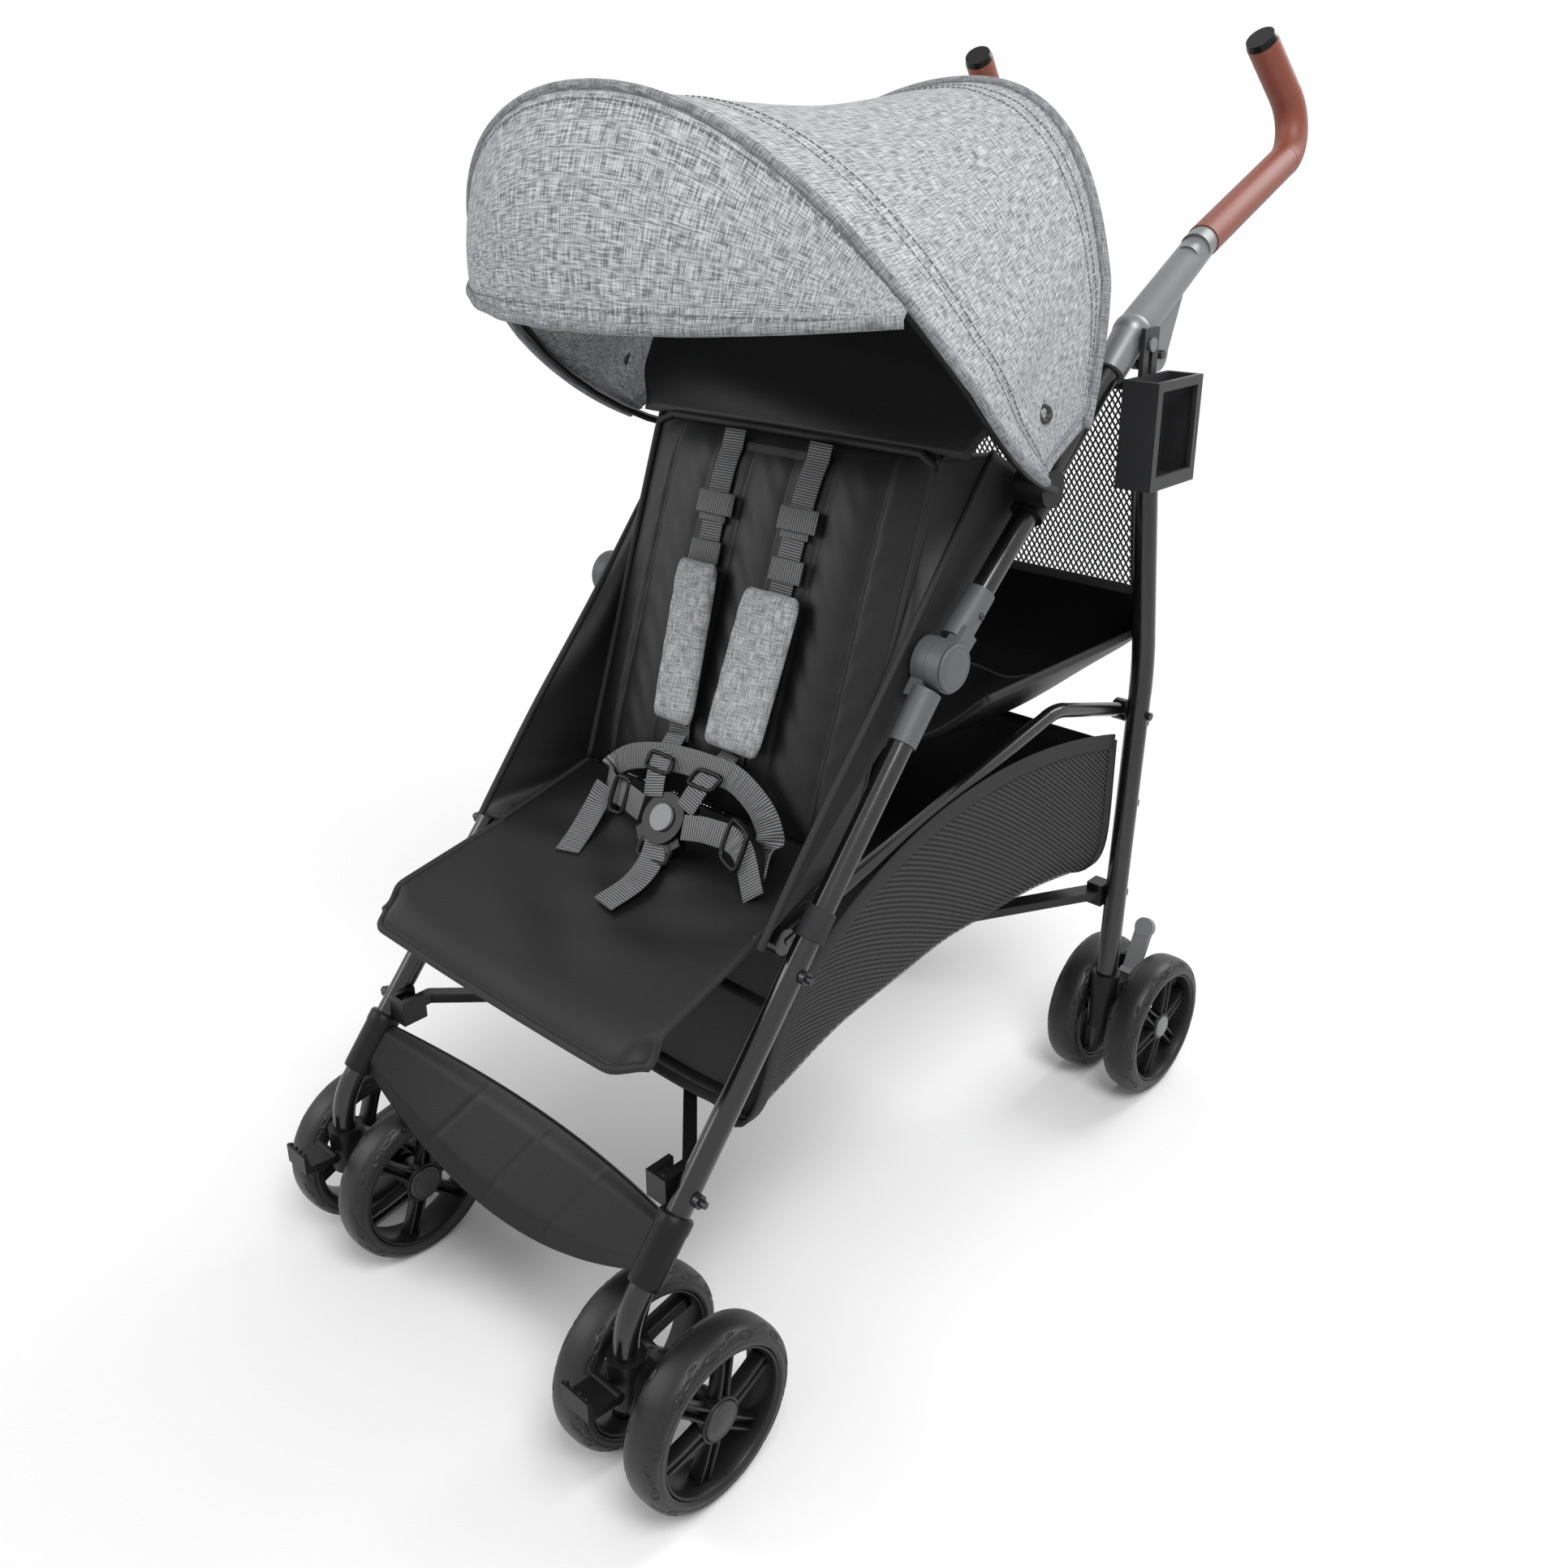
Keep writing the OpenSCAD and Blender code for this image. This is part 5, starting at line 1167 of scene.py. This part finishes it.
# Footrest, hub faces, rivets and cloth loops on the legs; a run is measured down the leg from the hub
WEB_LOW_RUN = 0.514
WEB_HIGH_RUN = 0.470
WEB_BELLY = 0.040
WEB_TOP_BOW = 0.006
WEB_SET_BACK = 0.026
WEB_HALF = 0.1825
WEB_CROWN = 0.004
WEB_T = 0.005
CREASE_SHARES = (0.30, 0.52, 0.74)
CREASE_DEPTH = 0.0009
SLEEVE_RUN = 0.492
SLEEVE = [
    (0.0101, -0.028), (0.0133, -0.028), (0.0145, -0.0262), (0.0145, -0.018), (0.0138, -0.015),
    (0.0134, 0.024), (0.0130, 0.0275), (0.0122, 0.028), (0.0101, 0.028), (0.0101, -0.028),
]
HUB_FACE = [
    (0.0, 0.0166), (0.0120, 0.0166), (0.0160, 0.0163), (0.0166, 0.0158), (0.0172, 0.0163), (0.0190, 0.0160),
    (0.0200, 0.0150), (0.0203, 0.0130), (0.0, 0.0130),
]
RIVET = [(0.0, 0.0142), (0.0022, 0.0140), (0.0031, 0.0130), (0.0031, 0.0110), (0.0, 0.0110)]
RIVET_RUN = 0.050
LOOP_RUN = 0.228
LOOP = [
    (0.0101, -0.013), (0.0118, -0.013), (0.0122, -0.011), (0.0122, 0.011), (0.0118, 0.013), (0.0101, 0.013),
    (0.0101, -0.013),
]


def on_leg(run):
    """Point on the front leg's axis below the hub, in the side view."""
    return HUB + np.asarray(run)[..., None] * LEG_AXIS


def leg_ring(name, profile, sx, run, k):
    """Profile turned about a front leg."""
    return lathe(name, profile, (sx * SWIVEL_X, *on_leg(run)), (0, *LEG_AXIS), k)


def make_footrest():
    """Moulded web between sleeves on the legs, its low edge bellied down and its middle set back by parabolas
    across; three shallow creases cross it."""
    uu, vv = grid(np.linspace(0, 1, 121), np.linspace(0, 1, 31))
    bow = full(uu, 2)
    run = mix(WEB_LOW_RUN, WEB_HIGH_RUN, vv) + WEB_BELLY * bow * (1 - vv) - WEB_TOP_BOW * bow * vv
    crease = sum(bell(uu - share - 0.10 * (vv - 0.5), 0.005) for share in CREASE_SHARES)
    edge = np.minimum(vv, 1 - vv)
    crown = WEB_CROWN * smooth(edge / 0.22) - CREASE_DEPTH * crease * smooth(edge / 0.1)
    grids = []
    for off in (-crown, WEB_T):
        back = WEB_SET_BACK * bow + off
        p = on_leg(run) + back[..., None] * [math.sin(LEG_SLOPE), -math.cos(LEG_SLOPE)]
        grids.append(np.stack([(2 * uu - 1) * WEB_HALF, p[..., 0], p[..., 1]], -1))
    parts = [solid_grid("web", *grids)]
    parts += [leg_ring("sleeve", SLEEVE, sx, SLEEVE_RUN, 48) for sx in SIDES]
    return paint(join("footrest_moulded", parts), PLASTIC)


def make_hub_trim(sx):
    """Raised round face on the outer hub half with a ring groove, and a rivet on its socket."""
    centre = np.array([sx * SWIVEL_X, *HUB])
    socket = centre + RIVET_RUN * np.array([0, *UPPER_AXIS])
    face = lathe(f"hub_face_{SIDES[sx]}", HUB_FACE, centre, (sx, 0, 0), 64)
    rivet = lathe(f"hub_rivet_{SIDES[sx]}", RIVET, socket, (sx, 0, 0), 24)
    return paint(face, HUB_GREY), paint(rivet, STEEL)


def make_leg_loop(sx):
    """Cloth loop of the seat round the front leg."""
    return paint(leg_ring(f"leg_loop_{SIDES[sx]}", LOOP, sx, LOOP_RUN, 40), BINDING)


footrest = make_footrest()
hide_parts("footrest")
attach(footrest, "front_legs")
for sx in (-1, 1):
    for piece in make_hub_trim(sx):
        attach(piece, "upper_frame")
    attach(make_leg_loop(sx), "front_legs")


# Small rounds on the solids
MOULDED_ROUND = 0.0012
MOULDED = ("hub_", "handle_bracket", "caster_fork", "rear_housing", "brake_pedal", "swivel_lock")
SMALL_ROUND = 0.0014
SMALL = (
    "cup_holder", "buckle", "buckle_button", "brace_knuckles", "front_brace", "rear_brace", "canopy_clamps",
)
SHARP_ANGLE = math.radians(40)


def soften(obj, width):
    """Small rounds on a solid's sharp edges, for looks."""
    mod = obj.modifiers.new("rounds", "BEVEL")
    mod.width = width
    mod.segments = 2
    mod.limit_method = "ANGLE"
    mod.angle_limit = SHARP_ANGLE


for name, obj in nodes.items():
    if name.startswith(MOULDED):
        soften(obj, MOULDED_ROUND)
    elif name in SMALL:
        soften(obj, SMALL_ROUND)


# Stage, light and camera
FLOOR_TONE = 0.90
FLOOR_HALF = 8.0
FADE_START = 0.62
FADE_END = 1.25
SKY_LIGHT = 0.52
LAMPS = (
    ("key", (1.5, -0.9, 2.7), (0, 0, 0.5), 52, 1.2),
    ("fill", (-1.8, -1.9, 1.9), (0, 0, 0.5), 24, 1.4),
    ("rim", (0.5, 2.2, 2.2), (0, 0, 0.6), 38, 1.4),
)
CAMERA_PLACE = (0.8224, -0.8940, 0.9613)
AZIMUTH = math.radians(43.579)
ELEVATION = math.radians(21.145)
ROLL = math.radians(-0.511)
PHOTO_PX = 1932
FOCAL_PX = 1740.86
CENTRE_PX = (940.82, 864.30)
SENSOR_MM = 36


def seen_directly(tree):
    """1 for rays from the camera, mirrored ones and ones through glass, else 0."""
    path = add_node(tree, "LightPath")
    value = path.outputs["Is Camera Ray"]
    for name in ("Is Glossy Ray", "Is Transmission Ray"):
        value = maths(tree, "MAXIMUM", value, path.outputs[name])
    return value


def make_floor():
    """Pale floor whose far part is white to rays that see it directly."""
    corners = [(x * FLOOR_HALF, y * FLOOR_HALF, 0) for x, y in ((-1, -1), (1, -1), (1, 1), (-1, 1))]
    floor = add_mesh("floor", corners, [(0, 1, 2, 3)], rounded=False)
    mat, tree, bsdf = new_mat("floor", [FLOOR_TONE] * 3, 0.9, 0.1)
    length = add_node(tree, "VectorMath", {0: coords(tree, "Object")}, operation="LENGTH").outputs["Value"]
    inputs = {"Value": length, "From Min": FADE_START, "From Max": FADE_END}
    far = add_node(tree, "MapRange", inputs, interpolation_type="SMOOTHSTEP").outputs["Result"]
    share = maths(tree, "MULTIPLY", far, seen_directly(tree))
    white = add_node(tree, "Emission").outputs["Emission"]
    blend = add_node(tree, "MixShader", {0: share, 1: bsdf.outputs["BSDF"], 2: white})
    set_inputs(tree.nodes["Material Output"], {"Surface": blend.outputs["Shader"]})
    floor.data.materials.append(mat)


def make_sky():
    """Even sky that lights the object at a plain level and is white to rays that see it directly."""
    world = bpy.data.worlds.new("sky")
    world.use_nodes = True
    sky = world.node_tree
    light = sky.nodes["Background"]
    set_inputs(light, {"Color": (1, 1, 1, 1), "Strength": SKY_LIGHT})
    white = add_node(sky, "Background", {"Color": (1, 1, 1, 1), "Strength": 1}).outputs["Background"]
    pick = add_node(sky, "MixShader", {0: seen_directly(sky), 1: light.outputs["Background"], 2: white})
    set_inputs(sky.nodes["World Output"], {"Surface": pick.outputs["Shader"]})
    bpy.context.scene.world = world


def make_lamps():
    """Large soft square lamps, each turned towards its aim."""
    for name, place, aim, power, width in LAMPS:
        lamp = bpy.data.lights.new(name, "AREA")
        lamp.energy = power
        lamp.size = width
        obj = bpy.data.objects.new(name, lamp)
        obj.location = place
        obj.rotation_euler = (Vector(aim) - Vector(place)).to_track_quat("-Z", "Y").to_euler()
        bpy.context.scene.collection.objects.link(obj)


def make_camera():
    """Camera of the photo: place, azimuth, elevation and roll from the fit of the wheels and tubes."""
    flat = math.cos(ELEVATION)
    back = Vector((math.sin(AZIMUTH) * flat, -math.cos(AZIMUTH) * flat, math.sin(ELEVATION)))
    right = (-back).cross(Vector((0, 0, 1))).normalized()
    up = right.cross(-back)
    side = right * math.cos(ROLL) + up * math.sin(ROLL)
    top = up * math.cos(ROLL) - right * math.sin(ROLL)
    cam = bpy.data.cameras.new("camera")
    cam.sensor_width = SENSOR_MM
    cam.lens = FOCAL_PX / PHOTO_PX * SENSOR_MM
    cam.shift_x = 0.5 - CENTRE_PX[0] / PHOTO_PX
    cam.shift_y = CENTRE_PX[1] / PHOTO_PX - 0.5
    obj = bpy.data.objects.new("camera", cam)
    axes = Matrix((side, top, back)).transposed()
    obj.matrix_world = Matrix.Translation(CAMERA_PLACE) @ axes.to_4x4()
    bpy.context.scene.collection.objects.link(obj)
    bpy.context.scene.camera = obj


make_floor()
make_sky()
make_lamps()
make_camera()
bpy.context.scene.view_settings.view_transform = "Standard"
